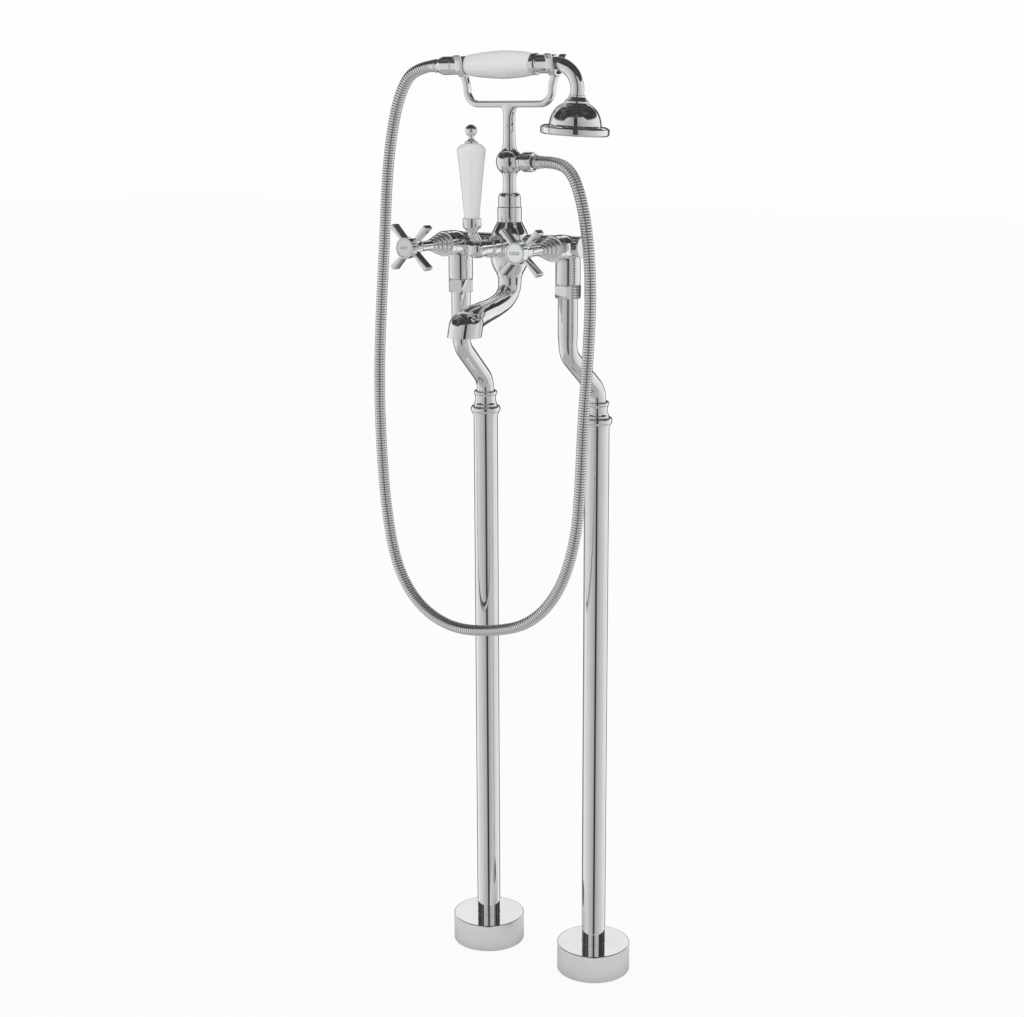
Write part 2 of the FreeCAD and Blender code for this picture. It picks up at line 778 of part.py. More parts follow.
def cross_handle(name, sign):
    """Stem, core and round bezel turned in one, with four flat blades that widen to their tips."""
    stem = S.stem_dia / 2
    core = S.core_dia / 2
    bezel = S.bezel_dia / 2
    front = S.handle_front
    bezel_back = front - S.bezel_depth
    core_back = front - S.core_depth
    recess = S.index_dia / 2 + 0.1
    sink = S.screw_head_dia / 2 + 0.3
    screw_hole = S.screw_dia / 2 + S.running_fit
    handle = at_valve(f"{name}_cross_handle", sign, [
        (spindle_hole, stem_back), (stem, stem_back), (stem, core_back - 1), via(stem + 0.8, core_back - 0.3),
        (core - 0.5, core_back + 0.5), (core, core_back + 1.5), (core, bezel_back - 0.5),
        (bezel - 1.4, bezel_back), via(bezel - 0.3, bezel_back + 0.8), (bezel, bezel_back + 2),
        (bezel, front - 1), via(bezel - 0.15, front - 0.2), (bezel - 0.5, front), (recess, front),
        (recess, front - S.index_depth), (sink, front - S.index_depth), (sink, web_front),
        (screw_hole, web_front), (screw_hole, web_back), (spindle_hole, web_back),
    ], CROSS_TURN)
    root_x = core - 2
    tip_x = S.blade_span / 2
    thin = S.blade_root / 2
    thick = S.blade_tip / 2
    waist_x = root_x + (tip_x - root_x) * 0.55
    blade = sketch(handle, "XY_Plane", [
        (root_x, -thin), via(waist_x, -thin - 0.1), (tip_x - 1, -thick), via(tip_x, 0.0),
        (tip_x - 1, thick), via(waist_x, thin + 0.1), (root_x, thin),
    ], bezel_back - S.blade_back)
    around(handle, [pad(handle, blade, S.blade_depth)], 4)


def index_disc(name, sign):
    edge = S.index_dia / 2
    back = S.handle_front - S.index_depth
    top = S.handle_front - 0.1
    at_valve(f"{name}_index_disc", sign, [
        (0.0, back), (edge, back), (edge, top), on_dome(edge, top, top + S.index_crown),
        (0.0, top + S.index_crown),
    ])


def handle_screw(name, sign):
    shank = S.screw_dia / 2
    head = S.screw_head_dia / 2
    tip = S.spindle_length - S.screw_length
    top = web_front + S.screw_head_height
    at_valve(f"{name}_handle_screw", sign, [
        (0.0, tip), (shank, tip), (shank, web_front), (head, web_front), (head, top - 0.4),
        (head - 0.4, top), (1.7, top), (1.7, top - 1.8), (0.0, top - 1.8),
    ])


# ---------------------------------------------------------------- diverter and its lever

plug_r = S.diverter_socket_dia / 2 - S.running_fit
diverter_front = S.diverter_boss_reach + S.diverter_bonnet_length
lever_hub_back = diverter_front + S.loose_fit
lever_hub_front = lever_hub_back + S.lever_hub_depth
plug_front = -S.diverter_socket_back + 1.5 + S.plug_length
lever_axis_u = lever_hub_back + S.lever_hub_depth / 2 + S.lever_lean - 1.5
rod_r = S.grip_bore / 2 - S.running_fit
ferrule_top = S.ferrule_base + S.ferrule_height
grip_seat = ferrule_top - 4
LEVER_UP = Rotation(Vector(1, 0, 0), -90)  # inside the lever, whose own Z points to the front


def at_hub(label, outline):
    """A part turned about the diverter's axis: heights are measured forward from the hub's axis."""
    return turned(label, outline, 0.0, -S.hub_reach, S.barrel_height, FORWARD)


def diverter_bonnet():
    tail = plug_front + 0.3
    boss = S.diverter_boss_reach
    wide = S.diverter_bonnet_dia / 2
    front = S.diverter_bonnet_front / 2
    step = boss + S.diverter_bonnet_length * 0.5
    at_hub("diverter_bonnet", [
        (spindle_hole, tail), (plug_r, tail), (plug_r, boss), (wide + 0.9, boss),
        via(wide + 1.3, boss + 1.5), (wide + 0.9, boss + 3), (wide, boss + 3), (wide, step),
        via(wide - 0.3, step + 1), (wide - 1, step + 1.6), (front, step + 2), (front, diverter_front - 0.6),
        (front - 0.6, diverter_front), (spindle_hole, diverter_front),
    ])


def diverter_plug():
    """Ported plug and its spindle: it joins the barrel to the spout or to the shower column."""
    back = -S.diverter_socket_back + 1.5
    end = lever_hub_front - 2
    plug = at_hub("diverter_plug", [
        (0.0, back), (plug_r - 0.4, back), (plug_r, back + 0.4), (plug_r, plug_front),
        (spindle_r, plug_front), (spindle_r, end), (0.0, end),
    ])
    port = S.plug_port / 2
    rod(plug, "Subtractive", port, 2 * plug_r, -plug_r, 0.0, 0.0, SIDEWAYS)
    rod(plug, "Subtractive", port, plug_r, 0.0, 0.0, 0.0, Rotation(Vector(1, 0, 0), 90))


def diverter_lever():
    """Domed hub on the spindle, an arm that leans forward, the cup for the grip and its core rod."""
    hub = S.lever_hub_dia / 2
    back = lever_hub_back
    front = lever_hub_front
    blind = front - 1.8
    lever = at_hub("diverter_lever", [
        (0.0, blind), (spindle_hole, blind), (spindle_hole, back), (hub - 0.9, back),
        via(hub - 0.2, back + 0.4), (hub, back + 1.2), (hub, back + S.lever_hub_depth * 0.5),
        on_dome(hub, back + S.lever_hub_depth * 0.5, front), (0.0, front),
    ])
    arm = S.lever_arm_dia / 2
    lean, rise = crank(S.lever_lean, 6.0, 60.0, 1.0, 2.0)
    foot = S.ferrule_base + 1 - rise
    start = lever_axis_u - S.lever_lean
    tilted = [type(p)((foot + p[1], start + p[0])) for p in lean]
    spine = sketch(lever, "YZ_Plane", tilted, closed=False)
    doc.recompute()
    pipe(lever, rings(lever, "XZ_Plane", [arm], 0.0, start, -foot), spine)
    cup = S.ferrule_dia / 2
    cone = lever.newObject("PartDesign::AdditiveCone", "Cup")
    for name, value in (("Radius1", arm), ("Radius2", cup), ("Height", S.ferrule_height / 2)):
        setattr(cone, name, value)
        bind(cone, name, value)
    place(cone, 0.0, S.ferrule_base, lever_axis_u, LEVER_UP)
    middle = S.ferrule_base + S.ferrule_height / 2
    rod(lever, "Additive", cup, S.ferrule_height / 2, 0.0, middle, lever_axis_u, LEVER_UP)
    seat = S.grip_foot_dia / 2 + 0.1
    rod(lever, "Subtractive", seat, ferrule_top - grip_seat, 0.0, grip_seat, lever_axis_u, LEVER_UP)
    long = S.grip_height + ferrule_top - grip_seat + 3.5
    rod(lever, "Additive", rod_r, long, 0.0, grip_seat - 2, lever_axis_u, LEVER_UP)
    lean_in = Vector(*GRUB_AIM)
    hole = rod(lever, "Subtractive", S.grub_dia / 2 + S.running_fit, 8.0, 0, 0, 0)
    hole.Placement = Placement(Vector(0, 0, grub_z) + lean_in * 6.5, Rotation(Vector(0, 0, 1), lean_in))


GRUB_AIM = (-0.45, 0.48, 0.75)
grub_z = lever_hub_back + S.lever_hub_depth * 0.28


def lever_grub_screw():
    screw = sub_part("lever_grub_screw")
    revolve(screw, [
        (0.0, 8.6), (S.grub_dia / 2, 8.6), (S.grub_dia / 2, 10.6), (1.0, 10.6), (1.0, 9.4), (0.0, 9.4),
    ])
    aim = Rotation(Vector(0, 0, 1), Vector(*GRUB_AIM))
    pivot = Vector(0, -S.hub_reach, S.barrel_height) + FORWARD.multVec(Vector(0, 0, grub_z))
    screw.Placement = Placement(pivot, FORWARD.multiply(aim))


def on_lever(label, outline, above):
    return turned(label, outline, 0.0, -S.hub_reach - lever_axis_u, S.barrel_height + above)


def lever_grip():
    """Porcelain grip: narrow foot in the cup, widening upwards to a rounded shoulder."""
    bore = S.grip_bore / 2
    foot = S.grip_foot_dia / 2
    wide = S.grip_dia / 2
    top = S.grip_height + ferrule_top - grip_seat
    shoulder = top - S.grip_shoulder
    on_lever("lever_grip", [
        (bore, 0.1), (foot, 0.1), (foot, 5.0), via(foot + (wide - foot) * 0.44, shoulder / 2),
        (wide, shoulder), via(wide - 1.6, top - 1.7), (wide - 7.2, top), (bore, top),
    ], grip_seat)


def lever_finial():
    """Flanged ring, waisted neck and ball that screw down on the core rod."""
    top = S.grip_height + ferrule_top - grip_seat
    ring = S.finial_ring_dia / 2
    ball = S.finial_ball_dia / 2
    centre = S.finial_height - ball
    neck = 3.2
    neck_z = centre - math.sqrt(ball * ball - neck * neck)
    on_lever("lever_finial", [
        (0.0, 4.0), (rod_r + S.running_fit, 4.0), (rod_r + S.running_fit, 0.0), (ring - 0.4, 0.0),
        via(ring, 1.0), (ring - 0.4, 2.0), (4.6, 2.6), via(neck - 0.1, 4.2), (neck, neck_z),
        via(ball, centre), (0.0, S.finial_height),
    ], grip_seat + top + 0.1)


# ---------------------------------------------------------------- spout

spout_spigot_r = S.spout_spigot_dia / 2
SPOUT_BEND = 17.0
SPOUT_FALL = 10.0


def spout_stations():
    """Centre, direction and radius of the tube's sections, from the hub down and forward."""
    neck = S.spout_neck_dia / 2
    tube = S.spout_tube_dia / 2
    straight = 9.0
    full = 90 - SPOUT_FALL
    stations = [(0.0, 0.0, 0.0, neck), (0.0, -straight, 0.0, neck)]
    for share in (1 / 3, 2 / 3, 1):
        turn = math.radians(full * share)
        reach = SPOUT_BEND * (1 - math.cos(turn))
        drop = -straight - SPOUT_BEND * math.sin(turn)
        stations.append((reach, drop, full * share, neck + (tube + 0.5 - neck) * share))
    reach, drop = stations[-1][:2]
    fall = math.tan(math.radians(SPOUT_FALL + 2))
    for share, radius in ((0.28, tube), (0.55, tube), (0.8, tube + 0.9), (1.0, tube + 1.8)):
        out = reach + (S.spout_reach - reach) * share
        stations.append((out, drop - (out - reach) * fall, full - 4 * share, radius))
    return stations


def spout():
    """Tapered tube that bends out of the hub into a wide down-turned mouth, hollow throughout."""
    def tube(inset, stations):
        sections = []
        for reach, drop, turn, radius in stations:
            centre = Vector(0, -reach, drop)
            along = Vector(0, -math.sin(math.radians(turn)), -math.cos(math.radians(turn)))
            ring = Part.makeCircle(radius - inset)
            ring.Placement = Placement(centre, Rotation(Vector(1, 0, 0), Vector(), along, "ZXY"))
            sections.append(Part.Wire([ring]))
        return Part.makeLoft(sections, True, False)

    mouth = S.spout_mouth_dia / 2
    lip = Vector(0, -S.spout_reach, -S.spout_drop)
    dome = lip + Vector(0, 0, S.spout_skirt)
    stations = spout_stations()
    outer = tube(0, stations)
    outer = outer.fuse([Part.makeSphere(mouth, dome), Part.makeCylinder(mouth, S.spout_skirt, lip)])
    outer = outer.common(Part.makeBox(200, 400, 200, Vector(-100, -300, lip.z)))
    inner_r = mouth - S.spout_wall
    below = [(0.0, -2.0, 0.0, stations[0][3])] + stations[1:]
    hollow = tube(S.spout_wall, below)
    bore = Part.makeCylinder(inner_r, S.spout_skirt, lip)
    ledge = inner_r - 1.2
    hollow = hollow.fuse([Part.makeSphere(ledge, dome), bore.common(strainer_space(lip, inner_r))])
    hollow = hollow.fuse(Part.makeCylinder(ledge, S.spout_skirt, lip))
    made = outer.cut(hollow)
    spigot = Part.makeCylinder(spout_spigot_r, S.spout_spigot_height, Vector(0, 0, 0))
    neck_bore = Part.makeCylinder(S.hub_bore / 2, S.spout_spigot_height + 2, Vector(0, 0, -2))
    made = made.fuse(spigot).cut(neck_bore).removeSplitter()
    part = doc.addObject("Part::Feature", "spout")
    part.Shape = made
    part.Placement = Placement(Vector(0, -S.hub_reach, S.barrel_height - S.hub_bottom), UPRIGHT)
    BUILT.append(part)


def strainer_space(lip, radius):
    return Part.makeCylinder(radius, S.strainer_height + 1, lip)


def spout_strainer():
    """Perforated disc that straightens the stream, seated just inside the mouth."""
    disc_r = S.spout_mouth_dia / 2 - S.spout_wall - 0.1
    z = S.barrel_height - S.hub_bottom - S.spout_drop + 0.9
    disc = turned("spout_strainer", [
        (0.0, 0.0), (disc_r - 0.5, 0.0), (disc_r, 0.5), (disc_r, S.strainer_height), (0.0, S.strainer_height),
    ], 0.0, -S.hub_reach - S.spout_reach, z)
    for share, count in ((0.36, 6), (0.74, 12)):
        hole = rod(disc, "Subtractive", S.strainer_hole / 2, S.strainer_height, disc_r * share, 0.0, 0.0)
        around(disc, [hole], count)


mixer_body()
for name, sign in (("hot", -1), ("cold", 1)):
    valve_bonnet(name, sign)
    valve_cartridge(name, sign)
    ceramic_disc(f"{name}_fixed_disc", sign, -S.valve_socket_back)
    ceramic_disc(f"{name}_turning_disc", sign, -S.valve_socket_back + S.ceramic_height + 0.05, 90)
    valve_spindle(name, sign)
    cross_handle(name, sign)
    index_disc(name, sign)
    handle_screw(name, sign)
diverter_bonnet()
diverter_plug()
diverter_lever()
lever_grub_screw()
lever_grip()
lever_finial()
spout()
spout_strainer()

# ---------------------------------------------------------------- shower column and outlet ball

column_z = S.barrel_height + S.hub_top
ball_z = column_z + S.ball_height
stem_r = S.fork_stem_dia / 2
ball_r = S.ball_dia / 2
ball_pin_r = S.ball_pin_dia / 2
column_flange_r = S.column_flange_dia / 2
fork_z = ball_z + S.fork_seat


def on_column(label, outline, z):
    return turned(label, outline, 0.0, -S.hub_reach, z)


def column_collar():
    """Plain ring round the hub's top spigot, locked by a grub screw at the back."""
    collar = S.column_collar_dia / 2
    bore = S.hub_spigot_dia / 2 + S.running_fit
    top = S.column_collar_height
    body = on_column("column_collar", [
        (bore, 0.0), (collar - 0.5, 0.0), (collar, 0.5), (collar, top - 0.5), (collar - 0.5, top),
        (S.column_neck_dia / 2 + 3, top), (S.column_neck_dia / 2 + 3, S.hub_spigot_height + 0.1),
        (bore, S.hub_spigot_height + 0.1),
    ], column_z)
    hole = S.grub_dia / 2 + S.running_fit
    rod(body, "Subtractive", hole, collar, 0.0, 0.0, 5.0, COLLAR_SCREW)


COLLAR_SCREW = Rotation(Vector(0, 0, 1), -55).multiply(Rotation(Vector(1, 0, 0), 90))


def column_grub_screw():
    screw = sub_part("column_grub_screw", 0.0, -S.hub_reach, column_z + 5.0, COLLAR_SCREW)
    start = S.hub_spigot_dia / 2 + 0.05
    end = S.column_collar_dia / 2
    r = S.grub_dia / 2
    revolve(screw, [(0.0, start), (r, start), (r, end), (1.0, end), (1.0, end - 1.2), (0.0, end - 1.2)])


def column_union_nut():
    """Rounded coupling nut above the collar."""
    bore = S.column_neck_dia / 2 + S.running_fit
    nut = S.column_nut_dia / 2
    top = S.column_nut_height
    seat = S.column_flange + 0.1
    on_column("column_union_nut", [
        (column_flange_r + S.running_fit, 0.0), (nut - 0.8, 0.0), (nut, 0.8), (nut, 9.0), via(nut - 1, 13.0),
        (bore + 0.9, top), (bore, top), (bore, seat), (column_flange_r + S.running_fit, seat),
    ], column_z + S.column_collar_height)


def outlet_ball():
    """Flanged neck, ball with a side spigot for the hose, and a pin that carries the cradle."""
    base = -(S.ball_height - S.column_collar_height)
    neck = S.column_neck_dia / 2
    under = -math.sqrt(ball_r * ball_r - neck * neck)
    over = math.sqrt(ball_r * ball_r - stem_r * stem_r)
    body = on_column("outlet_ball", [
        (0.0, base), (column_flange_r, base), (column_flange_r, base + S.column_flange),
        (neck, base + S.column_flange),
        (neck, under), via(ball_r, 0.0), (stem_r, over), (ball_pin_r, over),
        (ball_pin_r, over + S.ball_pin_length), (0.0, over + S.ball_pin_length),
    ], ball_z)
    spigot = S.outlet_spigot_dia / 2
    reach = S.outlet_spigot_length + 12
    rod(body, "Additive", spigot, reach, 0.0, 0.0, 0.0, SIDEWAYS)
    rod(body, "Subtractive", 4.0, S.ball_height - S.column_collar_height + 3.5, 0.0, 0.0, base)
    rod(body, "Subtractive", 3.5, reach, 0.0, 0.0, 0.0, SIDEWAYS)


# ---------------------------------------------------------------- cradle fork


def cradle_fork():
    """Stem and flared web, a U-shaped bar, and two open strap hooks with curled tips."""
    body = sub_part("cradle_fork", 0.0, -S.hub_reach, fork_z)
    bar_z = column_z + S.fork_height - fork_z + S.fork_thick / 2
    hook_z = S.barrel_height + S.handset_rise - fork_z
    half = S.fork_half_span
    corner = S.fork_corner
    arm_top = hook_z - 12.1
    rod(body, "Additive", stem_r, bar_z - 4, 0.0, 0.0, 0.0)
    deep = S.fork_deep
    web = sketch(body, "XZ_Plane", [
        (-stem_r + 0.1, bar_z - 14), (stem_r - 0.1, bar_z - 14), via(8.3, bar_z - 7.4),
        (13.5, bar_z - S.fork_thick / 2 + 0.4), (13.5, bar_z), (-13.5, bar_z),
        (-13.5, bar_z - S.fork_thick / 2 + 0.4), via(-8.3, bar_z - 7.4),
    ])
    pad(body, web, deep, midplane=True)
    bend = corner * (1 - math.sqrt(0.5))
    spine = sketch(body, "XZ_Plane", [
        (-half, arm_top), (-half, bar_z + corner), via(-half + bend, bar_z + bend),
        (-half + corner, bar_z), (half - corner, bar_z), via(half - bend, bar_z + bend),
        (half, bar_z + corner), (half, arm_top),
    ], closed=False)
    section = sketch(body, "XY_Plane", rounded_rectangle(-half, 0.0, S.fork_thick, deep, 2.4), arm_top)
    doc.recompute()
    pipe(body, section, spine)
    inner = S.journal_dia / 2 + S.loose_fit
    outer = inner + S.hook_wall
    rise = S.hook_rise
    flare = S.hook_flare
    left = [
        (-inner, hook_z), (-inner, hook_z + rise - 1), via(-inner - flare * 0.4, hook_z + rise + 3.2),
        (-inner - flare - 2, hook_z + rise + 5.5), (-inner - flare - 2.8, hook_z + rise + 2.7),
        via(-inner - flare, hook_z + rise + 1.2), (-outer, hook_z + rise - 1.5), (-outer, hook_z),
    ]
    right = [type(p)((-p[0], p[1])) for p in reversed(left)]
    outline = left + [via(0.0, hook_z - outer)] + right + [via(0.0, hook_z - inner)]
    for sign in (-1, 1):
        strap = sketch(body, "YZ_Plane", outline, sign * S.hook_centre)
        pad(body, strap, S.hook_width, midplane=True)
    rod(body, "Subtractive", ball_pin_r + S.running_fit, S.ball_pin_length + 0.2, 0.0, 0.0, 0.0)


# ---------------------------------------------------------------- hose fittings

FITTING_Y = -S.hub_reach
nut_front = S.outlet_spigot_length + 5.2


def along_x(label, outline, x, z):
    """A part turned about an axis along +X: heights are measured to the right from x."""
    return turned(label, outline, x, FITTING_Y, z, SIDEWAYS)


def hose_outlet_nut():
    """Flared nut on the ball's side spigot, narrow against the ball."""
    back = S.hose_nut_back_dia / 2
    front = S.hose_nut_dia / 2
    long = S.hose_nut_length
    seat = S.outlet_spigot_dia / 2 + S.running_fit
    along_x("hose_outlet_nut", [
        (seat, 0.0), (back - 0.4, 0.0), (back, 0.6), (back + 0.3, 3.0), via(back + 1.2, 5.0),
        (front, 6.5), (front, long - 2.5), via(front - 0.6, long - 0.8), (front - 2.2, long),
        (S.hose_bore / 2 + 0.5, long), (S.hose_bore / 2 + 0.5, 7.5), (seat, 7.5),
    ], nut_front, ball_z)


def crimp(label, x, z, mirror=False):
    """Ferrule pressed round the hose's end, with a raised bead at its middle."""
    outer = S.crimp_dia / 2
    bore = S.hose_bore / 2
    long = S.crimp_length
    along_x(label, [
        (bore, 0.0), (outer - 0.4, 0.0), (outer, 0.5), (outer, long / 2 - 1.2), via(outer + 0.7, long / 2),
        (outer, long / 2 + 1.2), (outer, long - 0.5), (outer - 0.4, long), (bore, long),
    ], x, z)


def handset_hose_nut():
    """Nut that swells towards the handset."""
    back = S.hose_nut_back_dia / 2 - 0.1
    front = S.handset_nut_dia / 2
    long = S.handset_nut_length
    seat = S.handset_tube_dia / 2 + 0.1
    along_x("handset_hose_nut", [
        (S.hose_bore / 2, 0.0), (back - 0.5, 0.0), (back, 0.5), via(front - 0.4, 2.0), (front, 3.4),
        (front, long - 0.5), (front - 0.5, long), (seat, long), (seat, long - 9.5),
        (S.hose_bore / 2, long - 9.5),
    ], tail_x - long, handset_z)


# ---------------------------------------------------------------- handset

handset_z = S.barrel_height + S.handset_rise
tail_x = -(S.grip_left + S.tail_length)
tube_r = S.handset_tube_dia / 2
ring_x = -S.grip_left + S.handset_grip_length


def handset_tail():
    """Plain sleeve that rests in the left hook."""
    journal = S.journal_dia / 2
    bore = tube_r + S.running_fit
    long = S.tail_length
    along_x("handset_tail", [
        (bore, 0.0), (journal - 0.5, 0.0), (journal, 0.5), (journal, long), (bore, long),
    ], tail_x, handset_z)


def handset_grip():
    """Barrel-shaped porcelain sleeve on the handset's tube."""
    bore = tube_r + S.running_fit
    left = S.handset_grip_left_dia / 2
    right = S.handset_grip_right_dia / 2
    long = S.handset_grip_length
    along_x("handset_grip", [
        (bore, 0.0), (left - 0.6, 0.0), (left, 0.8), via(S.handset_grip_dia / 2, long * 0.56),
        (right, long - 0.8), (right - 0.6, long), (bore, long),
    ], -S.grip_left, handset_z)


def handset_neck():
    """Tube through the grip, collar and journal, and the neck that bends down to the rose."""
    body = sub_part("handset_neck", 0.0, FITTING_Y, handset_z, SIDEWAYS)
    collar = S.ring_dia / 2
    journal = S.journal_dia / 2
    neck = S.neck_dia / 2
    step = ring_x + S.ring_length
    end = step + S.journal_length
    revolve(body, [
        (0.0, tail_x - 9), (tube_r, tail_x - 9), (tube_r, ring_x), (collar - 0.5, ring_x),
        (collar, ring_x + 0.5), (collar, step - 1), via(collar - 0.3, step - 0.3), (collar - 1, step),
        (journal, step), (journal, end - 0.6), (journal - 0.6, end), (0.0, end),
    ])
    spine = sketch(body, "XZ_Plane", neck_path(end), closed=False)
    shell = rings(body, "XY_Plane", [neck], 0.0, 0.0, end)
    water = rings(body, "XY_Plane", [S.hose_bore / 2], 0.0, 0.0, end)
    doc.recompute()
    pipe(body, shell, spine)
    pipe(body, water, spine, "Subtractive")
    rod(body, "Subtractive", S.hose_bore / 2, end - tail_x + 9, 0.0, 0.0, tail_x - 9)


def neck_path(start):
    """Arc from the handset's axis round the neck's turn, then a short straight drop."""
    bend = S.neck_bend
    half = S.neck_turn / 2
    bottom = bend - bend * cosine(S.neck_turn)
    across = start + bend * sine(S.neck_turn)
    return [
        (0.0, start), via(bend - bend * cosine(half), start + bend * sine(half)), (bottom, across),
        (bottom + S.neck_drop * sine(S.neck_turn), across + S.neck_drop * cosine(S.neck_turn)),
    ]


def at_neck_end(label, outline):
    """A part turned about the rose's axis; its zero is the end of the neck."""
    end = neck_path(ring_x + S.ring_length + S.journal_length)[-1]
    tilt = Rotation(Vector(0, 1, 0), float(S.neck_turn) - 90)
    return turned(label, outline, end[1], FITTING_Y, handset_z - end[0], tilt)


def rose_body():
    """Collar, flat shoulder, domed bell and thick rim, hollow underneath."""
    neck = S.neck_dia / 2 + S.running_fit
    collar = S.rose_collar_dia / 2
    shoulder = S.rose_shoulder_dia / 2
    dome = S.rose_dome_dia / 2
    rim = S.rose_dia / 2
    foot = -S.rose_depth + 0.5
    step = foot + S.rose_rim + 2.5
    wall = S.rose_wall
    at_neck_end("rose_body", [
        (neck, 3.5), (collar + 0.6, 3.5), (collar + 0.6, 0.8), (shoulder - 0.6, -2.6), (shoulder, -3.2),
        (shoulder, -4.8), via(shoulder + 10.2, -12.5), (dome, step + 0.8), (rim - 3, step),
        (rim, step - 2.4), (rim, foot + 2), (rim - 1.2, foot), (rim - 3.3, foot), (rim - 3.3, foot + 3),
        (rim - 5, foot + 3), (dome - wall, step - 0.4), via(shoulder + 8.7, -14.2),
        (shoulder - wall, -6.5), (S.hose_bore / 2, -1.5), (S.hose_bore / 2, 0.0), (neck, 0.0),
    ])


def rose_plate():
    """Perforated face of the rose."""
    edge = S.rose_dia / 2 - 3.4
    back = -S.rose_depth + 3.4
    face = back - 2.6
    plate = at_neck_end("rose_plate", [
        (edge, face + 0.5), (edge, back), (0.0, back), (0.0, face - 0.4),
        on_dome(edge - 0.5, face, face - 0.4), (edge - 0.5, face),
    ])
    for share, count in ((0.26, 6), (0.52, 12), (0.78, 18)):
        hole = rod(plate, "Subtractive", S.rose_hole / 2, 4.0, edge * share, 0.0, face - 0.8)
        around(plate, [hole], count)


# ---------------------------------------------------------------- hose

HOSE_POINTS = [
    (42.6, 947.5), (64.0, 947.5), (83.0, 937.3), (95.0, 919.2), (99.5, 880.0), (103.0, 815.0),
    (101.0, 745.0), (95.0, 670.0), (92.0, 600.0), (86.0, 535.0), (64.0, 478.0), (24.0, 434.0),
    (-30.0, 416.0), (-84.0, 413.0), (-131.0, 432.0), (-161.0, 474.0), (-175.0, 540.0),
    (-181.0, 620.0), (-182.0, 700.0), (-177.0, 780.0), (-171.0, 860.0), (-164.0, 930.0),
    (-160.0, 985.0), (-155.5, 1016.5), (-144.2, 1037.0), (-124.0, 1049.0), (-100.5, 1049.0),
]


def hose_pieces(points):
    """Straight runs and tangent arcs: (length, position and direction at a distance into it)."""
    pieces = []
    at = points[0]
    for before, corner, after in zip(points, points[1:], points[2:]):
        leaving = corner - before
        coming = after - corner
        half = leaving.getAngle(coming) / 2
        reach = 0.45 * min(leaving.Length, coming.Length)
        radius = reach / math.tan(half)
        leaving = leaving.normalize()
        coming = coming.normalize()
        start = corner - leaving * reach
        pieces.append(((start - at).Length, at, leaving, None))
        side = (coming - leaving).normalize()
        centre = corner + side * (radius / math.cos(half))
        pieces.append((2 * half * radius, start, leaving, centre))
        at = corner + coming * reach
    last = points[-1] - at
    pieces.append((last.Length, at, last.normalize(), None))
    return pieces


def hose_frame(pieces, distance):
    for length, start, way, centre in pieces:
        if distance <= length or pieces[-1][1] is start:
            break
        distance -= length
    if centre is None:
        return start + way * distance, way
    out = start - centre
    turn = distance / out.Length
    return (
        centre + out * math.cos(turn) + way * (out.Length * math.sin(turn)),
        way * math.cos(turn) - out * (math.sin(turn) / out.Length),
    )


def shower_hose():
    """Ribbed flexible hose: four rings to each rib, one ruled surface, bored through."""
    points = [Vector(x, -S.hub_reach, z) for x, z in HOSE_POINTS]
    pieces = hose_pieces(points)
    total = sum(piece[0] for piece in pieces)
    ribs = int(S.hose_ribs)
    crest = S.hose_dia / 2
    groove = crest - S.hose_groove
    steady = Vector(0, 1, 0)

    def ring(distance, radius):
        centre, way = hose_frame(pieces, distance)
        made = Part.makeCircle(radius)
        made.Placement = Placement(centre, Rotation(steady, Vector(), way, "ZXY"))
        return Part.Wire([made])

    outside = [ring(0, groove)]
    inside = [ring(0, S.hose_bore / 2)]
    for i in range(ribs):
        for share, radius in ((0.05, groove), (0.3, crest), (0.7, crest), (0.95, groove)):
            outside.append(ring(total * (i + share) / ribs, radius))
        inside.append(ring(total * (i + 0.5) / ribs, S.hose_bore / 2))
    outside.append(ring(total, groove))
    inside.append(ring(total, S.hose_bore / 2))
    tube = Part.makeLoft(outside, True, True).cut(Part.makeLoft(inside, True, True))
    part = doc.addObject("Part::Feature", "shower_hose")
    part.Shape = tube
    BUILT.append(part)
    radii = [(p[1] - p[3]).Length for p in pieces if p[3] is not None]
    print(f"hose {total:.1f} mm long, tightest bend {min(radii):.1f} mm")


column_collar()
column_grub_screw()
column_union_nut()
outlet_ball()
cradle_fork()
hose_outlet_nut()
crimp("hose_outlet_crimp", nut_front + S.hose_nut_length, ball_z)
crimp("handset_hose_crimp", tail_x - S.handset_nut_length - S.crimp_length, handset_z)
handset_hose_nut()
handset_tail()
handset_grip()
handset_neck()
rose_body()
rose_plate()
shower_hose()

# ---------------------------------------------------------------- check and write

doc.recompute()
for item in doc.Objects:
    if {"Invalid", "Error"} & set(item.State):
        raise RuntimeError(f"{item.Label} did not compute")

for item in BUILT:
    shape = item.Shape
    if shape.isNull() or not shape.isValid() or not shape.Solids:
        raise RuntimeError(f"{item.Label} has no valid solid")
    shape.exportStep(os.path.join(OUT, f"{item.Label}.step"))
print(len(BUILT), "sub-parts")
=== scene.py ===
import math

import bmesh
import bpy
import numpy as np
from mathutils import Matrix


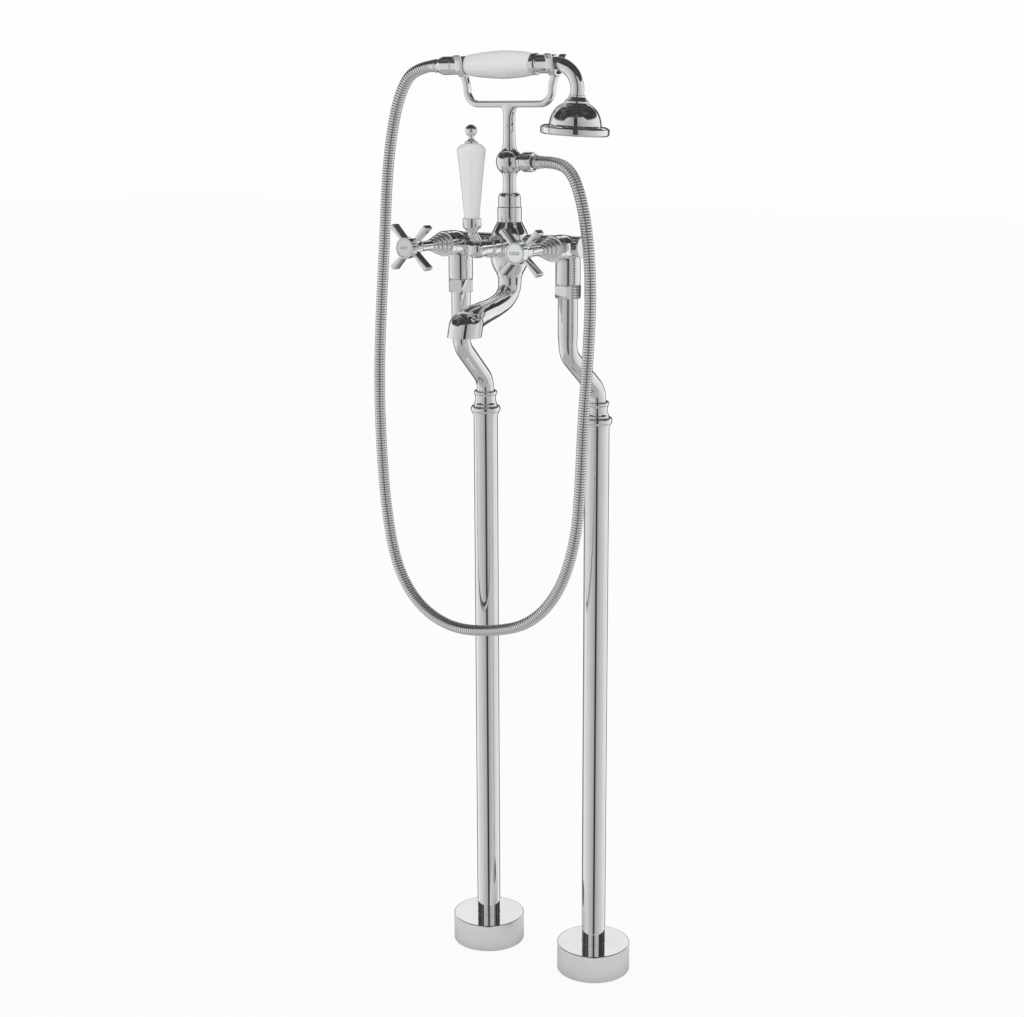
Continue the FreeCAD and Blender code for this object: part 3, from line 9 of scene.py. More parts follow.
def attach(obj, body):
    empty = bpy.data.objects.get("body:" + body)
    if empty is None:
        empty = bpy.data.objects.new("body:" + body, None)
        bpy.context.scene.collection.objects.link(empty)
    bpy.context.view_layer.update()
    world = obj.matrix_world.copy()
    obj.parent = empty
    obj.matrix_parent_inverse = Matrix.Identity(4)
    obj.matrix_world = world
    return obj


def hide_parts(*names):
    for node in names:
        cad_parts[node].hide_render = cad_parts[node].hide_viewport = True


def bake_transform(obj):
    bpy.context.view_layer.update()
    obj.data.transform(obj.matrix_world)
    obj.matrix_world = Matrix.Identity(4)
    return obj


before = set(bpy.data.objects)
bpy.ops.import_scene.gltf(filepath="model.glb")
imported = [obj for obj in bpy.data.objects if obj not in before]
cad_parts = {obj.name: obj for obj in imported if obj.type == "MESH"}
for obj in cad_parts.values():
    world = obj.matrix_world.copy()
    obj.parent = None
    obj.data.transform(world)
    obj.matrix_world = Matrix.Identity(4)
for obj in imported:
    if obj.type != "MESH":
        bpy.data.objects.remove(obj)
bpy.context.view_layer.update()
print("frame loaded:", len(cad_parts), "nodes")

mm = 0.001
right, back, up = np.eye(3)
front = -back

layout = {  # millimetres, in the CAD's frame
    "pipeX": 75.0, "valveX": 70.0, "barrelY": -55.0, "hubY": -62.0, "leverY": -134.05,
    "barrelZ": 859.0, "columnZ": 883.5, "ballZ": 947.5, "handsetZ": 1049.0,
}


def onColumn(level, x=0):
    return np.array([x, layout["hubY"], layout[level]])


def valveAt(sign):
    return np.array([sign * layout["valveX"], layout["barrelY"], layout["barrelZ"]])



class Signal:
    # One socket of a node tree; arithmetic on it adds Math nodes.
    def __init__(self, recipe, socket):
        self.recipe = recipe
        self.socket = socket

    def mathNode(self, operation, first, second):
        return self.recipe.node("Math", {"operation": operation}, {0: first, 1: second})

    def __add__(self, other):
        return self.mathNode("ADD", self, other)

    def __sub__(self, other):
        return self.mathNode("SUBTRACT", self, other)

    def __rsub__(self, other):
        return self.mathNode("SUBTRACT", other, self)

    def __mul__(self, other):
        return self.mathNode("MULTIPLY", self, other)

    def __truediv__(self, other):
        return self.mathNode("DIVIDE", self, other)

    def __rtruediv__(self, other):
        return self.mathNode("DIVIDE", other, self)

    __radd__ = __add__
    __rmul__ = __mul__


class Recipe:
    # A node tree being filled: node() adds one shader node, its settings first, then its sockets.
    # A ramp's stops are places and grey levels; a number on a colour socket is that grey.
    def __init__(self, tree):
        self.tree = tree
        tree.nodes.clear()

    def node(self, kind, settings=None, sockets=None, out=0):
        made = self.tree.nodes.new("ShaderNode" + kind)
        for name, value in (settings or {}).items():
            if name == "stops":
                ramp = made.color_ramp
                while len(ramp.elements) < len(value):
                    ramp.elements.new(0.5)
                for stop, (place, level) in zip(ramp.elements, value):
                    stop.position = place
                    stop.color = (level, level, level, 1)
            else:
                setattr(made, name, value)
        for key, value in (sockets or {}).items():
            slot = made.inputs[key] if isinstance(key, int) else self.named(made.inputs, key)
            if isinstance(value, Signal):
                self.tree.links.new(value.socket, slot)
            elif slot.type == "RGBA":
                slot.default_value = (*value, 1) if isinstance(value, tuple) else (value, value, value, 1)
            else:
                slot.default_value = value
        if not made.outputs:
            return None
        outlet = made.outputs[out] if isinstance(out, int) else self.named(made.outputs, out)
        return Signal(self, outlet)

    def named(self, sockets, name):
        return next(s for s in sockets if name in (s.identifier, s.name) and s.enabled)

    def noise(self, scale, detail=3.0, roughness=0.5, stretch=(1, 1, 1)):
        where = self.node("Mapping", {}, {"Vector": self.node("TexCoord", out="Object"), "Scale": stretch})
        return self.node("TexNoise", {}, {
            "Vector": where, "Scale": scale, "Detail": detail, "Roughness": roughness,
        })

    def span(self, value, low, high, fromLow=0.0, fromHigh=1.0, smooth=False):
        kind = "SMOOTHSTEP" if smooth else "LINEAR"
        return self.node("MapRange", {"interpolation_type": kind}, {
            "Value": value, "From Min": fromLow, "From Max": fromHigh, "To Min": low, "To Max": high,
        })

    def blendColour(self, share, first, second):
        return self.node("Mix", {"data_type": "RGBA"}, {
            "Factor_Float": share, "A_Color": first, "B_Color": second,
        }, "Result_Color")

    def bump(self, height, distance):
        return self.node("Bump", {}, {"Height": height, "Distance": distance})

    def surface(self, **values):
        names = {name.replace("_", " "): value for name, value in values.items()}
        shader = self.node("BsdfPrincipled", {}, names)
        self.node("OutputMaterial", {}, {"Surface": shader})


def newRecipe(name):
    material = bpy.data.materials.new(name)
    material.use_nodes = True
    return material, Recipe(material.node_tree)


def platedMetal(name, look):
    # Mirror plating: cloudy polish in the roughness, a slight ripple and hairlines from wiping.
    # A look with a groove colour gets painted shade: it is darker where the mesh's painted rib light is low.
    material, r = newRecipe(name)
    cloud = r.noise(look["cloudScale"], 4)
    hair = r.noise(look["hairScale"], 2, 0.6, (1, 1, 0.06))
    tint = r.blendColour(r.span(cloud, 0, 1, 0.35, 0.7), look["colour"], look["shade"])
    rough = r.span(cloud, look["smooth"], look["dull"], 0.3, 0.75) + r.span(hair, 0, look["hair"], 0.5, 0.8)
    if "groove" in look:
        # Painted shade: the groove colour is mixed in where the rib's painted light falls off.
        rib = r.node("Attribute", {"attribute_name": "ribLight"}, out="Fac")
        tint = r.blendColour(rib, look["groove"], tint)
    ripple = r.bump(r.noise(look["rippleScale"], 2), look["ripple"] * mm)
    r.surface(Base_Color=tint, Metallic=1.0, Roughness=rough, Normal=ripple)
    return material


def glazed(name, look):
    # Fired glaze: a soft body under a clear coat, faintly clouded, with slow waves in its surface.
    material, r = newRecipe(name)
    cloud = r.noise(look["cloudScale"], 3)
    speck = r.span(r.noise(900.0, 1), 0, 0.03, 0.62, 0.8)
    tint = r.blendColour(r.span(cloud, 0, 1, 0.3, 0.7) + speck, look["colour"], look["shade"])
    wave = r.bump(r.noise(look["waveScale"], 2), look["wave"] * mm)
    r.surface(Base_Color=tint, Roughness=r.span(cloud, look["smooth"], look["dull"], 0.3, 0.7),
              IOR=1.5, Normal=wave, Coat_Weight=look["coat"], Coat_Roughness=0.03)
    return material


def matte(name, look):
    # Plain stuff, for letter fill and the parts inside: grain in the colour and a fine bump.
    material, r = newRecipe(name)
    grain = r.noise(look["grainScale"], 5, 0.6)
    tint = r.blendColour(r.span(grain, 0, 1, 0.3, 0.7), look["colour"], look["shade"])
    rough = r.span(grain, look["rough"] * 0.8, look["rough"] * 1.15, 0.3, 0.7)
    r.surface(Base_Color=tint, Metallic=look["metal"], Roughness=rough,
              Normal=r.bump(grain, look["bump"] * mm))
    return material


chromeLook = {
    "colour": (0.955, 0.955, 0.96), "shade": (0.915, 0.918, 0.925), "smooth": 0.03, "dull": 0.055,
    "hair": 0.02, "cloudScale": 38.0, "hairScale": 700.0, "rippleScale": 90.0, "ripple": 0.012,
}
# The hose's groove colour is painted shade for the grooves between its ribs.
hoseLook = dict(chromeLook, colour=(0.96, 0.96, 0.965), shade=(0.90, 0.905, 0.91), smooth=0.10, dull=0.15,
                rippleScale=400.0, ripple=0.01, groove=(0.55, 0.55, 0.56))
screwLook = dict(chromeLook, colour=(0.045, 0.045, 0.05), shade=(0.03, 0.03, 0.033), smooth=0.3, dull=0.45)
porcelainLook = {
    "colour": (0.79, 0.79, 0.785), "shade": (0.765, 0.766, 0.76), "smooth": 0.16, "dull": 0.24,
    "cloudScale": 24.0, "waveScale": 70.0, "wave": 0.03, "coat": 0.9,
}
hotEnamelLook = dict(porcelainLook, colour=(0.60, 0.60, 0.595), shade=(0.53, 0.53, 0.525), smooth=0.3,
                     dull=0.42)
coldEnamelLook = dict(porcelainLook, colour=(0.72, 0.775, 0.745), shade=(0.66, 0.72, 0.69), smooth=0.25,
                      dull=0.35)
inkLook = {"rough": 0.5, "metal": 0.0, "grainScale": 1500.0, "bump": 0.01}
greyInkLook = dict(inkLook, colour=0.33, shade=0.27)
greenInkLook = dict(inkLook, colour=(0.05, 0.16, 0.12), shade=(0.03, 0.11, 0.08))

chrome = platedMetal("polishedChrome", chromeLook)
hoseMetal = platedMetal("ribbedHoseMetal", hoseLook)
blackHole = platedMetal("blackedScrew", screwLook)
porcelain = glazed("whitePorcelain", porcelainLook)
hotEnamel = glazed("hotIndexEnamel", hotEnamelLook)
coldEnamel = glazed("coldIndexEnamel", coldEnamelLook)
greyInk = matte("greyLetterFill", greyInkLook)
greenInk = matte("greenLetterFill", greenInkLook)
insideLooks = {
    "brass": {"colour": (0.72, 0.53, 0.26), "shade": (0.60, 0.42, 0.19), "rough": 0.32, "metal": 1.0,
              "grainScale": 260.0, "bump": 0.01},
    "copper": {"colour": (0.76, 0.44, 0.31), "shade": (0.58, 0.31, 0.21), "rough": 0.35, "metal": 1.0,
               "grainScale": 200.0, "bump": 0.01},
    "ceramic": {"colour": (0.86, 0.85, 0.82), "shade": (0.80, 0.79, 0.75), "rough": 0.3, "metal": 0.0,
                "grainScale": 500.0, "bump": 0.005},
    "washer_rubber": {"colour": (0.03, 0.03, 0.032), "shade": 0.05, "rough": 0.7, "metal": 0.0,
                      "grainScale": 700.0, "bump": 0.02},
}
nodeFinish = {name: matte(name, look) for name, look in insideLooks.items()}
nodeFinish["chrome"] = chrome
print("materials made")


def gridFaces(rows, columns, ring=False):
    # Quads between neighbouring rows and columns; columns always close round, rows only for a ring.
    i = np.arange(rows if ring else rows - 1)[:, None] * columns
    j = np.arange(columns)[None, :]
    below = (i + columns) % (rows * columns)
    beside = (j + 1) % columns
    return np.stack([i + j, i + beside, below + beside, below + j], -1).reshape(-1, 4)


def arcThrough(first, middle, last, count=10):
    # The centre is where the normals at the middles of first-middle and middle-last meet.
    a, m, b = (np.array(p, float) for p in (first, middle, last))
    ways = np.array([m - a, b - m])
    centre = np.linalg.solve(ways, (ways * np.array([(a + m) / 2, (m + b) / 2])).sum(1))
    turn = np.unwrap(np.arctan2(*(np.array([a, m, b]) - centre).T[::-1]))
    angles = np.linspace(turn[0], turn[2], count + 2)
    size = np.linalg.norm(a - centre)
    return centre + size * np.stack([np.cos(angles), np.sin(angles)], 1)


def outline(*steps, soft=0.4, ring=False, bendSteps=5):
    # Corners (radius, height, softness) become parabolas tangent to both runs,
    # (1-t)^2 S + 2t(1-t) P + t^2 E, with a point just outside each end that keeps the runs flat.
    # A string "via" before two numbers gives the middle of an arc to the next corner.
    rows = []
    for n, step in enumerate(steps):
        if step[0] == "via":
            arc = arcThrough(steps[n - 1][:2], step[1:], steps[(n + 1) % len(steps)][:2])
            rows += [(*p, 0.0) for p in arc[1:-1]]
        else:
            rows.append((*step[:2], step[2] if len(step) > 2 else soft))
    p = np.array(rows)[:, :2]
    give = np.array(rows)[:, 2]
    behind = np.roll(p, 1, 0) - p
    ahead = np.roll(p, -1, 0) - p
    behindRun = np.linalg.norm(behind, axis=1) + 1e-9
    aheadRun = np.linalg.norm(ahead, axis=1) + 1e-9
    give = np.minimum(give, 0.36 * np.minimum(behindRun, aheadRun))
    if not ring:
        give[[0, -1]] = 0
    give = give[:, None]
    behind /= behindRun[:, None]
    ahead /= aheadRun[:, None]
    t = np.linspace(0, 1, bendSteps)[None, :, None]
    s = p + behind * give
    e = p + ahead * give
    bends = (1 - t) ** 2 * s[:, None] + 2 * t * (1 - t) * p[:, None] + t**2 * e[:, None]
    made = np.concatenate([(s + 0.3 * give * behind)[:, None], bends, (e + 0.3 * give * ahead)[:, None]], 1)
    made = made.reshape(-1, 2)
    moved = np.r_[True, np.linalg.norm(np.diff(made, axis=0), axis=1) > 1e-4]
    return made[moved]


def throughPoints(points, steps=8):
    # Catmull-Rom: each span is the cubic that runs at its ends along the line between their neighbours.
    p = np.array(points, float)
    q = np.vstack([2 * p[0] - p[1], p, 2 * p[-1] - p[-2]])
    t = np.linspace(0, 1, steps, endpoint=False)[None, :, None]
    a, b, c, d = (q[i : len(q) - 3 + i][:, None] for i in range(4))
    curve = b + 0.5 * t * (c - a) + t**2 * (a - 2.5 * b + 2 * c - 0.5 * d)
    curve = curve + t**3 * (1.5 * (b - c) + 0.5 * (d - a))
    return np.vstack([curve.reshape(-1, p.shape[1]), p[-1]])


def ovalArc(wide, tall, level, first, last, count):
    # (wide cos t, level + tall sin t) between two angles.
    t = np.linspace(first, last, count)
    return np.stack([wide * np.cos(t), level + tall * np.sin(t)], 1)


def unit(vectors):
    vectors = np.asarray(vectors, float)
    return vectors / np.linalg.norm(vectors, axis=-1, keepdims=True)


def sideOf(axis):
    axis = unit(axis)
    side = unit(np.cross(axis, up if abs(axis[2]) < 0.9 else right))
    return side, np.cross(axis, side)


def lathe(profile, foot, axis=up, turns=96, ring=False, reach=None):
    # (u, v) -> foot + height(u) axis + radius(u) (cos v side + sin v other); reach(v) trims the radius.
    profile = np.asarray(profile, float)
    side, other = sideOf(axis)
    v = np.linspace(0, 2 * np.pi, turns, endpoint=False)
    radius = np.repeat(profile[:, :1], turns, 1)
    if reach is not None:
        radius = np.minimum(radius, reach(v))
    around = np.cos(v)[:, None] * side + np.sin(v)[:, None] * other
    points = np.array(foot, float) + profile[:, 1, None, None] * unit(axis) + radius[..., None] * around
    return mm * points.reshape(-1, 3), gridFaces(len(profile), turns, ring)


def reachAlong(path):
    return np.r_[0, np.cumsum(np.linalg.norm(np.diff(path, axis=0), axis=1))]


def squareRound(halfWide, halfDeep, power, count):
    # |x/a|^n + |y/b|^n = 1, walked by x = a sign(cos v)|cos v|^(2/n) and y the same with sin.
    v = np.linspace(0, 2 * np.pi, count, endpoint=False)
    c, s = np.cos(v), np.sin(v)
    return np.stack([halfWide * np.sign(c) * np.abs(c) ** (2 / power),
                     halfDeep * np.sign(s) * np.abs(s) ** (2 / power)], 1)


def roundSection(radius, count):
    return squareRound(radius, radius, 2.0, count)


def carry(path, section, across, soft=0.6, step=1.0, swell=None):
    # (u, v) -> path(u) + a(v) across + b(v) normal(u), the normal square to the path and to across.
    # Over the last soft millimetres the section draws in by a quarter circle, then closes.
    path = np.asarray(path, float)
    reach = reachAlong(path)
    quarter = np.linspace(0, np.pi / 2, 6)
    near = soft * (1 - np.cos(quarter))
    total = reach[-1]
    middle = np.linspace(soft * 1.25, total - soft * 1.25, max(2, int(total / step)))
    spots = np.r_[0, near, middle, total - near[::-1], total]
    half = np.abs(section).max(0)
    inset = np.r_[0, soft * (1 - np.sin(quarter)), middle * 0, soft * (1 - np.sin(quarter[::-1])), 0]
    scale = 1 - inset[:, None] / half
    scale[[0, -1]] = 0
    if swell is not None:
        scale = scale * np.reshape(swell(spots / total), (len(spots), -1))
    centre = np.stack([np.interp(spots, reach, path[:, k]) for k in range(3)], 1)
    ways = np.stack([np.interp(spots, reach, np.gradient(path[:, k], reach)) for k in range(3)], 1)
    across = unit(across)
    normal = unit(np.cross(ways, across))
    spread = section[None] * scale[:, None]
    points = centre[:, None] + spread[..., :1] * across + spread[..., 1:] * normal[:, None]
    return mm * points.reshape(-1, 3), gridFaces(len(spots), len(section))


def roundBend(corners, radius, steps=14):
    # Each inner corner of a path becomes a circular arc tangent to both runs.
    p = np.array(corners, float)
    made = [p[:1]]
    for before, corner, after in zip(p, p[1:], p[2:]):
        leave, come = unit(corner - before), unit(after - corner)
        half = math.acos(float(np.clip(leave @ come, -1, 1))) / 2
        start = corner - leave * radius * math.tan(half)
        side = unit(come - leave)
        middle = corner + side * radius / math.cos(half)
        turn = np.linspace(0, 2 * half, steps)[:, None]
        made.append(middle + (start - middle) * np.cos(turn) + leave * radius * np.sin(turn))
    return np.vstack(made + [p[-1:]])


def addPiece(name, shells, material, body="stand", bend=34):
    # A piece stands in for the CAD node of the same name, where there is one.
    mesh = bpy.data.meshes.new(name)
    starts = np.cumsum([0] + [len(points) for points, _ in shells[:-1]])
    points = np.vstack([points for points, _ in shells])
    faces = np.vstack([faces + start for (_, faces), start in zip(shells, starts)])
    mesh.from_pydata(points.tolist(), [], faces.tolist())
    work = bmesh.new()
    work.from_mesh(mesh)
    bmesh.ops.remove_doubles(work, verts=work.verts, dist=1e-7)
    bmesh.ops.recalc_face_normals(work, faces=work.faces)
    work.to_mesh(mesh)
    work.free()
    mesh.polygons.foreach_set("use_smooth", np.ones(len(mesh.polygons), bool))
    mesh.set_sharp_from_angle(angle=math.radians(bend))
    mesh.materials.append(material)
    piece = bpy.data.objects.new(name, mesh)
    bpy.context.scene.collection.objects.link(piece)
    if body:
        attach(piece, body)
    node = "".join("_" + letter.lower() if letter.isupper() else letter for letter in name)
    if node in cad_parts:
        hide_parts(node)
    return piece


cameraView = {"place": (1.0729, -1.6945, 1.0075), "azimuth": 33.27, "pitch": 12.76, "roll": -0.20,
              "lens": 62.714}


def placeCamera():
    # The camera's back is (sin a cos p, -cos a cos p, sin p); its right is level, then both are rolled.
    a, p, roll = (math.radians(cameraView[k]) for k in ("azimuth", "pitch", "roll"))
    behind = np.array([math.sin(a) * math.cos(p), -math.cos(a) * math.cos(p), math.sin(p)])
    level = np.array([math.cos(a), math.sin(a), 0])
    head = np.cross(behind, level)
    turned = level * math.cos(roll) + head * math.sin(roll)
    head = head * math.cos(roll) - level * math.sin(roll)
    data = bpy.data.cameras.new("camera")
    data.lens, data.sensor_width = cameraView["lens"], 36.0
    data.clip_start, data.clip_end = 0.05, 60.0
    camera = bpy.data.objects.new("camera", data)
    camera.matrix_world = Matrix.Translation(cameraView["place"]) @ Matrix(
        np.stack([turned, head, behind], 1).tolist()).to_4x4()
    bpy.context.scene.collection.objects.link(camera)
    bpy.context.scene.camera = camera


placeCamera()
print("camera placed")

hoseSizes = {
    "diameter": 12.5, "groove": 0.95, "pitch": 2.9, "turns": 24,
    "phase": [0.0, 0.07, 0.2, 0.5, 0.8, 0.93],    # places along one rib, as shares of the pitch
    "height": [0.0, 0.7, 0.97, 1.0, 0.97, 0.7],   # how far each stands out of the groove
    "light": [0.0, 0.35, 1.0, 1.0, 1.0, 0.35],    # painted light: how bright each place on a rib is painted; low values are painted shade in the grooves
    "route": [  # x and z in millimetres, the spline's control points
        (42.6, 947.5), (61, 947.8), (79, 938), (91, 909), (99, 868), (103, 812), (100, 745), (94, 670),
        (91, 600), (86, 540), (66, 478), (26, 433), (-30, 416), (-84, 412), (-130, 432), (-161, 474),
        (-175, 540), (-181, 620), (-182, 700), (-177, 780), (-170, 860), (-165, 930), (-156, 985),
        (-144, 1022), (-126, 1046), (-100.5, 1049),
    ],
}


def splinePoints(route, y):
    # The line of a NURBS spline of order 3 through its end points, read from Blender's own curve.
    curve = bpy.data.curves.new("hoseLine", "CURVE")
    curve.dimensions = "3D"
    spline = curve.splines.new("NURBS")
    spline.points.add(len(route) - 1)
    control = np.array([(x * mm, y * mm, z * mm, 1.0) for x, z in route])
    spline.points.foreach_set("co", control.ravel())
    spline.order_u = 3
    spline.use_endpoint_u = True
    spline.resolution_u = 40
    holder = bpy.data.objects.new("hoseLine", curve)
    bpy.context.scene.collection.objects.link(holder)
    mesh = bpy.data.meshes.new_from_object(holder)
    points = np.empty(len(mesh.vertices) * 3)
    mesh.vertices.foreach_get("co", points)
    bpy.data.objects.remove(holder)
    bpy.data.meshes.remove(mesh)
    return points.reshape(-1, 3)


def makeHose():
    # Rings of radius R - g at each groove and R on each rib, square to the spline, one rib per pitch.
    h = hoseSizes
    line = splinePoints(h["route"], layout["hubY"]) / mm
    reach = reachAlong(line)
    ribs = int(reach[-1] / h["pitch"])
    spots = ((np.arange(ribs)[:, None] + np.array(h["phase"])) / ribs * reach[-1]).ravel()
    crest = h["diameter"] / 2
    radius = crest - h["groove"] * (1 - np.tile(h["height"], ribs))
    spots = np.r_[spots, reach[-1]]
    radius = np.r_[radius, crest - h["groove"]]
    centre = np.stack([np.interp(spots, reach, line[:, k]) for k in range(3)], 1)
    ways = unit(np.stack([np.interp(spots, reach, np.gradient(line[:, k], reach)) for k in range(3)], 1))
    normal = unit(np.cross(ways, back))
    v = np.linspace(0, 2 * np.pi, h["turns"], endpoint=False)
    around = np.cos(v)[:, None, None] * back + np.sin(v)[:, None, None] * normal
    points = np.swapaxes(centre[None] + radius[None, :, None] * around, 0, 1)
    points = np.concatenate([np.repeat(centre[:1, None], len(v), 1), points,
                             np.repeat(centre[-1:, None], len(v), 1)])
    tube = (mm * points.reshape(-1, 3), gridFaces(len(points), len(v)))
    hose = addPiece("showerHose", [tube], hoseMetal, None, bend=60)
    # Painted shade: each ring carries its painted light level, dark in the grooves and bright on the crests.
    bright = np.r_[0.0, np.repeat(np.r_[np.tile(h["light"], ribs), 0.0], len(v)), 0.0]
    shine = hose.data.attributes.new("ribLight", "FLOAT", "POINT")
    shine.data.foreach_set("value", bright.astype(np.float32))
    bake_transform(hose)
    print("hose", round(reach[-1]), "mm,", ribs, "ribs")


makeHose()

coverSizes = {"radius": 43.0, "height": 33.0, "wall": 2.0, "hole": 14.1, "edge": 1.1}
pipeSizes = {
    "radius": 14.0, "bore": 12.5, "foot": 12.0, "top": 663.0, "collarZ": 657.0, "nutZ": 667.0,
    "collar": [(14.05, 0.0, 0.1), (15.05, 0.0, 0.3), (15.05, 2.4, 0.3), (15.9, 2.6, 0.2), ("via", 17.25, 6.3),
               (15.9, 10.0, 0.3), (10.05, 10.0, 0.1), (10.05, 6.0, 0.1), (14.05, 6.0, 0.1)],
    "nut": [(11.6, 0.0, 0.1), (13.5, 0.0, 0.4), (13.5, 2.0, 0.5), ("via", 11.9, 7.0), (12.6, 13.0, 0.3),
            ("via", 13.6, 15.5), (12.5, 18.0, 0.4), (10.05, 18.0, 0.2), (10.05, 6.5, 0.1), (11.6, 6.5, 0.1)],
}
legSizes = {"foot": 664.0, "radius": 10.0, "bend": 24.0, "tail": 22.0, "rise": 90.72, "shoulder": 102.0,
            "sleeve": 10.8, "top": 145.0, "head": 11.7, "headHeight": 3.5, "shift": 55.227, "crank": 50.0,
            "overlap": 4.0}
nutSizes = {"flats": 26.4, "height": 14.7, "z": 804.0, "hole": 10.9, "chamfer": 1.9, "edge": 0.15,
            "land": 5.0, "turn": {"left": 37, "right": 25}}


def makePipes(side, sign):
    # Cover, pipe, collar and nut are closed outlines turned about the pipe's line.
    x = sign * layout["pipeX"]
    c = coverSizes
    inside = c["radius"] - c["wall"]
    ceiling = c["height"] - c["wall"]
    cover = outline((inside, 0, 0.2), (c["radius"], 0, 0.3), (c["radius"], c["height"], c["edge"]),
                    (c["hole"], c["height"], 0.25), (c["hole"], ceiling, 0.2), (inside, ceiling, 0.5),
                    ring=True)
    addPiece(side + "BaseCover", [lathe(cover, (x, 0, 0), turns=128, ring=True)], chrome)
    p = pipeSizes
    tube = outline((p["bore"], p["foot"]), (p["radius"], p["foot"]), (p["radius"], p["top"]),
                   (p["bore"], p["top"]), soft=0.2, ring=True)
    addPiece(side + "Standpipe", [lathe(tube, (x, 0, 0), ring=True)], chrome)
    collar = outline(*p["collar"], ring=True)
    addPiece(side + "PipeCollar", [lathe(collar, (x, 0, p["collarZ"]), ring=True)], chrome)
    nut = outline(*p["nut"], ring=True)
    addPiece(side + "ReducerNut", [lathe(nut, (x, 0, p["nutZ"]), ring=True)], chrome)
    makeLeg(side, x, sign * layout["valveX"])
    makeUnionNut(side, sign)


def makeLeg(side, x, topX):
    # A round section carried up the cranked path, then lathed sleeve and head on the last upright run.
    g = legSizes
    way = unit([topX - x, layout["barrelY"], 0])
    across = np.cross(way, up)
    lean = math.tan(math.radians(g["crank"]))
    level = (g["tail"] + g["rise"]) / 2
    half = g["shift"] / 2
    corners = [(0, 0), (0, level - half / lean), (g["shift"], level + half / lean),
               (g["shift"], g["rise"] + g["overlap"])]
    foot = np.array([x, 0, g["foot"]])
    flat = roundBend(corners, g["bend"])
    path = foot + flat[:, :1] * way + flat[:, 1:] * up
    tube = carry(path, roundSection(g["radius"], 64), across, soft=0.4, step=2.5)
    rise, top = g["rise"], g["top"]
    neck = top - g["headHeight"]
    sleeve = outline((0, rise), (g["radius"], rise, 0.1), (g["radius"] + 0.05, rise + 0.6, 1.0),
                     (g["sleeve"], g["shoulder"], 2.0), (g["sleeve"], neck, 0.3), (g["head"], neck, 0.2),
                     (g["head"], top, 0.2), (0, top))
    addPiece(side + "CrankedLeg", [tube, lathe(sleeve, foot + g["shift"] * way)], chrome)


def makeUnionNut(side, sign):
    # The radius is the least of the chamfer's curve at that height and of the hexagon,
    # flats / 2 / cos(v - nearest flat); the upper half of the chamfer mirrors the lower.
    n = nutSizes
    corner = n["flats"] / math.sqrt(3) + 0.1
    flat = n["flats"] / 2 - 0.25
    turn = math.radians(n["turn"][side])
    share = np.linspace(0.1, 1, 8)
    curve = np.stack([flat + (corner - flat) * share, n["edge"] + n["chamfer"] * share**1.3], 1)
    half = np.vstack([[(n["hole"], 0), (flat - 0.6, 0.0), (flat, n["edge"])], curve, [(corner, n["land"])]])
    rows = np.vstack([half, half[::-1] * (1, -1) + (0, n["height"])])

    def hexagon(v):
        return n["flats"] / 2 / np.cos((v - turn) % (np.pi / 3) - np.pi / 6)

    foot = (sign * layout["valveX"], layout["barrelY"], n["z"])
    nut = lathe(rows, foot, turns=144, ring=True, reach=hexagon)
    addPiece(side + "UnionNut", [nut], chrome, bend=24)


for side, sign in (("left", -1), ("right", 1)):
    makePipes(side, sign)
print("covers, pipes and legs")

bodySizes = {
    "barrel": 11.5, "half": 88.0, "inlet": 13.5, "inletFace": 40.0, "spigot": 11.75, "spigotLength": 8.0,
    "valve": 13.8, "valveReach": 25.0, "diverter": 12.5, "diverterReach": 28.0,
    "hubFoot": [(0, -35.0), (12.6, -35.0), (13.0, -34.9), (13.3, -34.6)],
    "hubBulb": [(13.6, -34.0), (14.6, -31.0), (17.6, -25.5), (20.2, -19.0), (21.2, -11.0), (21.3, -4.0),
                (21.0, 4.0), (19.8, 11.5), (17.0, 18.0), (14.6, 22.5)],
    "hubTop": [(14.0, 24.0), (13.7, 24.4), (13.3, 24.5), (10.0, 24.5), (10.0, 34.0), (0, 34.0)],
}


def makeBody():
    # Profiles turned about their own lines: hub, barrel, two inlets with valve bosses, and the nose.
    b = bodySizes
    hubAt = onColumn("barrelZ")
    hub = np.vstack([b["hubFoot"], throughPoints(b["hubBulb"], 6), b["hubTop"]])
    barrel = outline((0, -b["half"]), (b["barrel"], -b["half"], 1.2), (b["barrel"], b["half"], 1.2),
                     (0, b["half"]))
    shells = [lathe(hub, hubAt, turns=128), lathe(barrel, (0, layout["barrelY"], layout["barrelZ"]), right)]
    for sign in (-1, 1):
        at = valveAt(sign)
        face = -b["inletFace"]
        end = face - b["spigotLength"]
        inlet = outline((0, 0), (b["barrel"], 0), (b["barrel"] + 0.2, -8.0, 2.0), (b["inlet"], -14.5, 1.5),
                        (b["inlet"], face, 0.6), (b["spigot"], face, 0.1), (b["spigot"], end, 0.3), (0, end))
        shells.append(lathe(inlet, at))
        boss = outline((0, -6), (11.0, -6), (b["valve"] - 1.4, 3.0, 3.0), (b["valve"], 12.0, 3.0),
                       (b["valve"], b["valveReach"], 0.5), (0, b["valveReach"]))
        shells.append(lathe(boss, at, front))
    nose = outline((0, 0), (b["diverter"], 0), (b["diverter"], b["diverterReach"], 0.4),
                   (0, b["diverterReach"]))
    shells.append(lathe(nose, hubAt, front))
    addPiece("mixerBody", shells, chrome)


makeBody()

bonnetSizes = {"back": 25.0, "band": 9.0, "length": 32.0, "wide": 13.8, "nose": 6.8, "rings": 4,
               "groove": 2.1}
crossSizes = {"front": 105.0, "back": 57.3, "bezel": 11.4, "bezelDepth": 11.0, "core": 8.0, "coreDepth": 25.0,
              "stem": 5.4, "reach": 32.0, "bladeDepth": 6.0, "bladeBehind": 2.0, "root": 1.75, "tip": 3.0,
              "disc": 9.35, "discBack": 2.0}
wordSizes = {"size": 4.4, "thick": 0.04, "bold": 0.06, "lift": 0.58, "dome": 79.0}


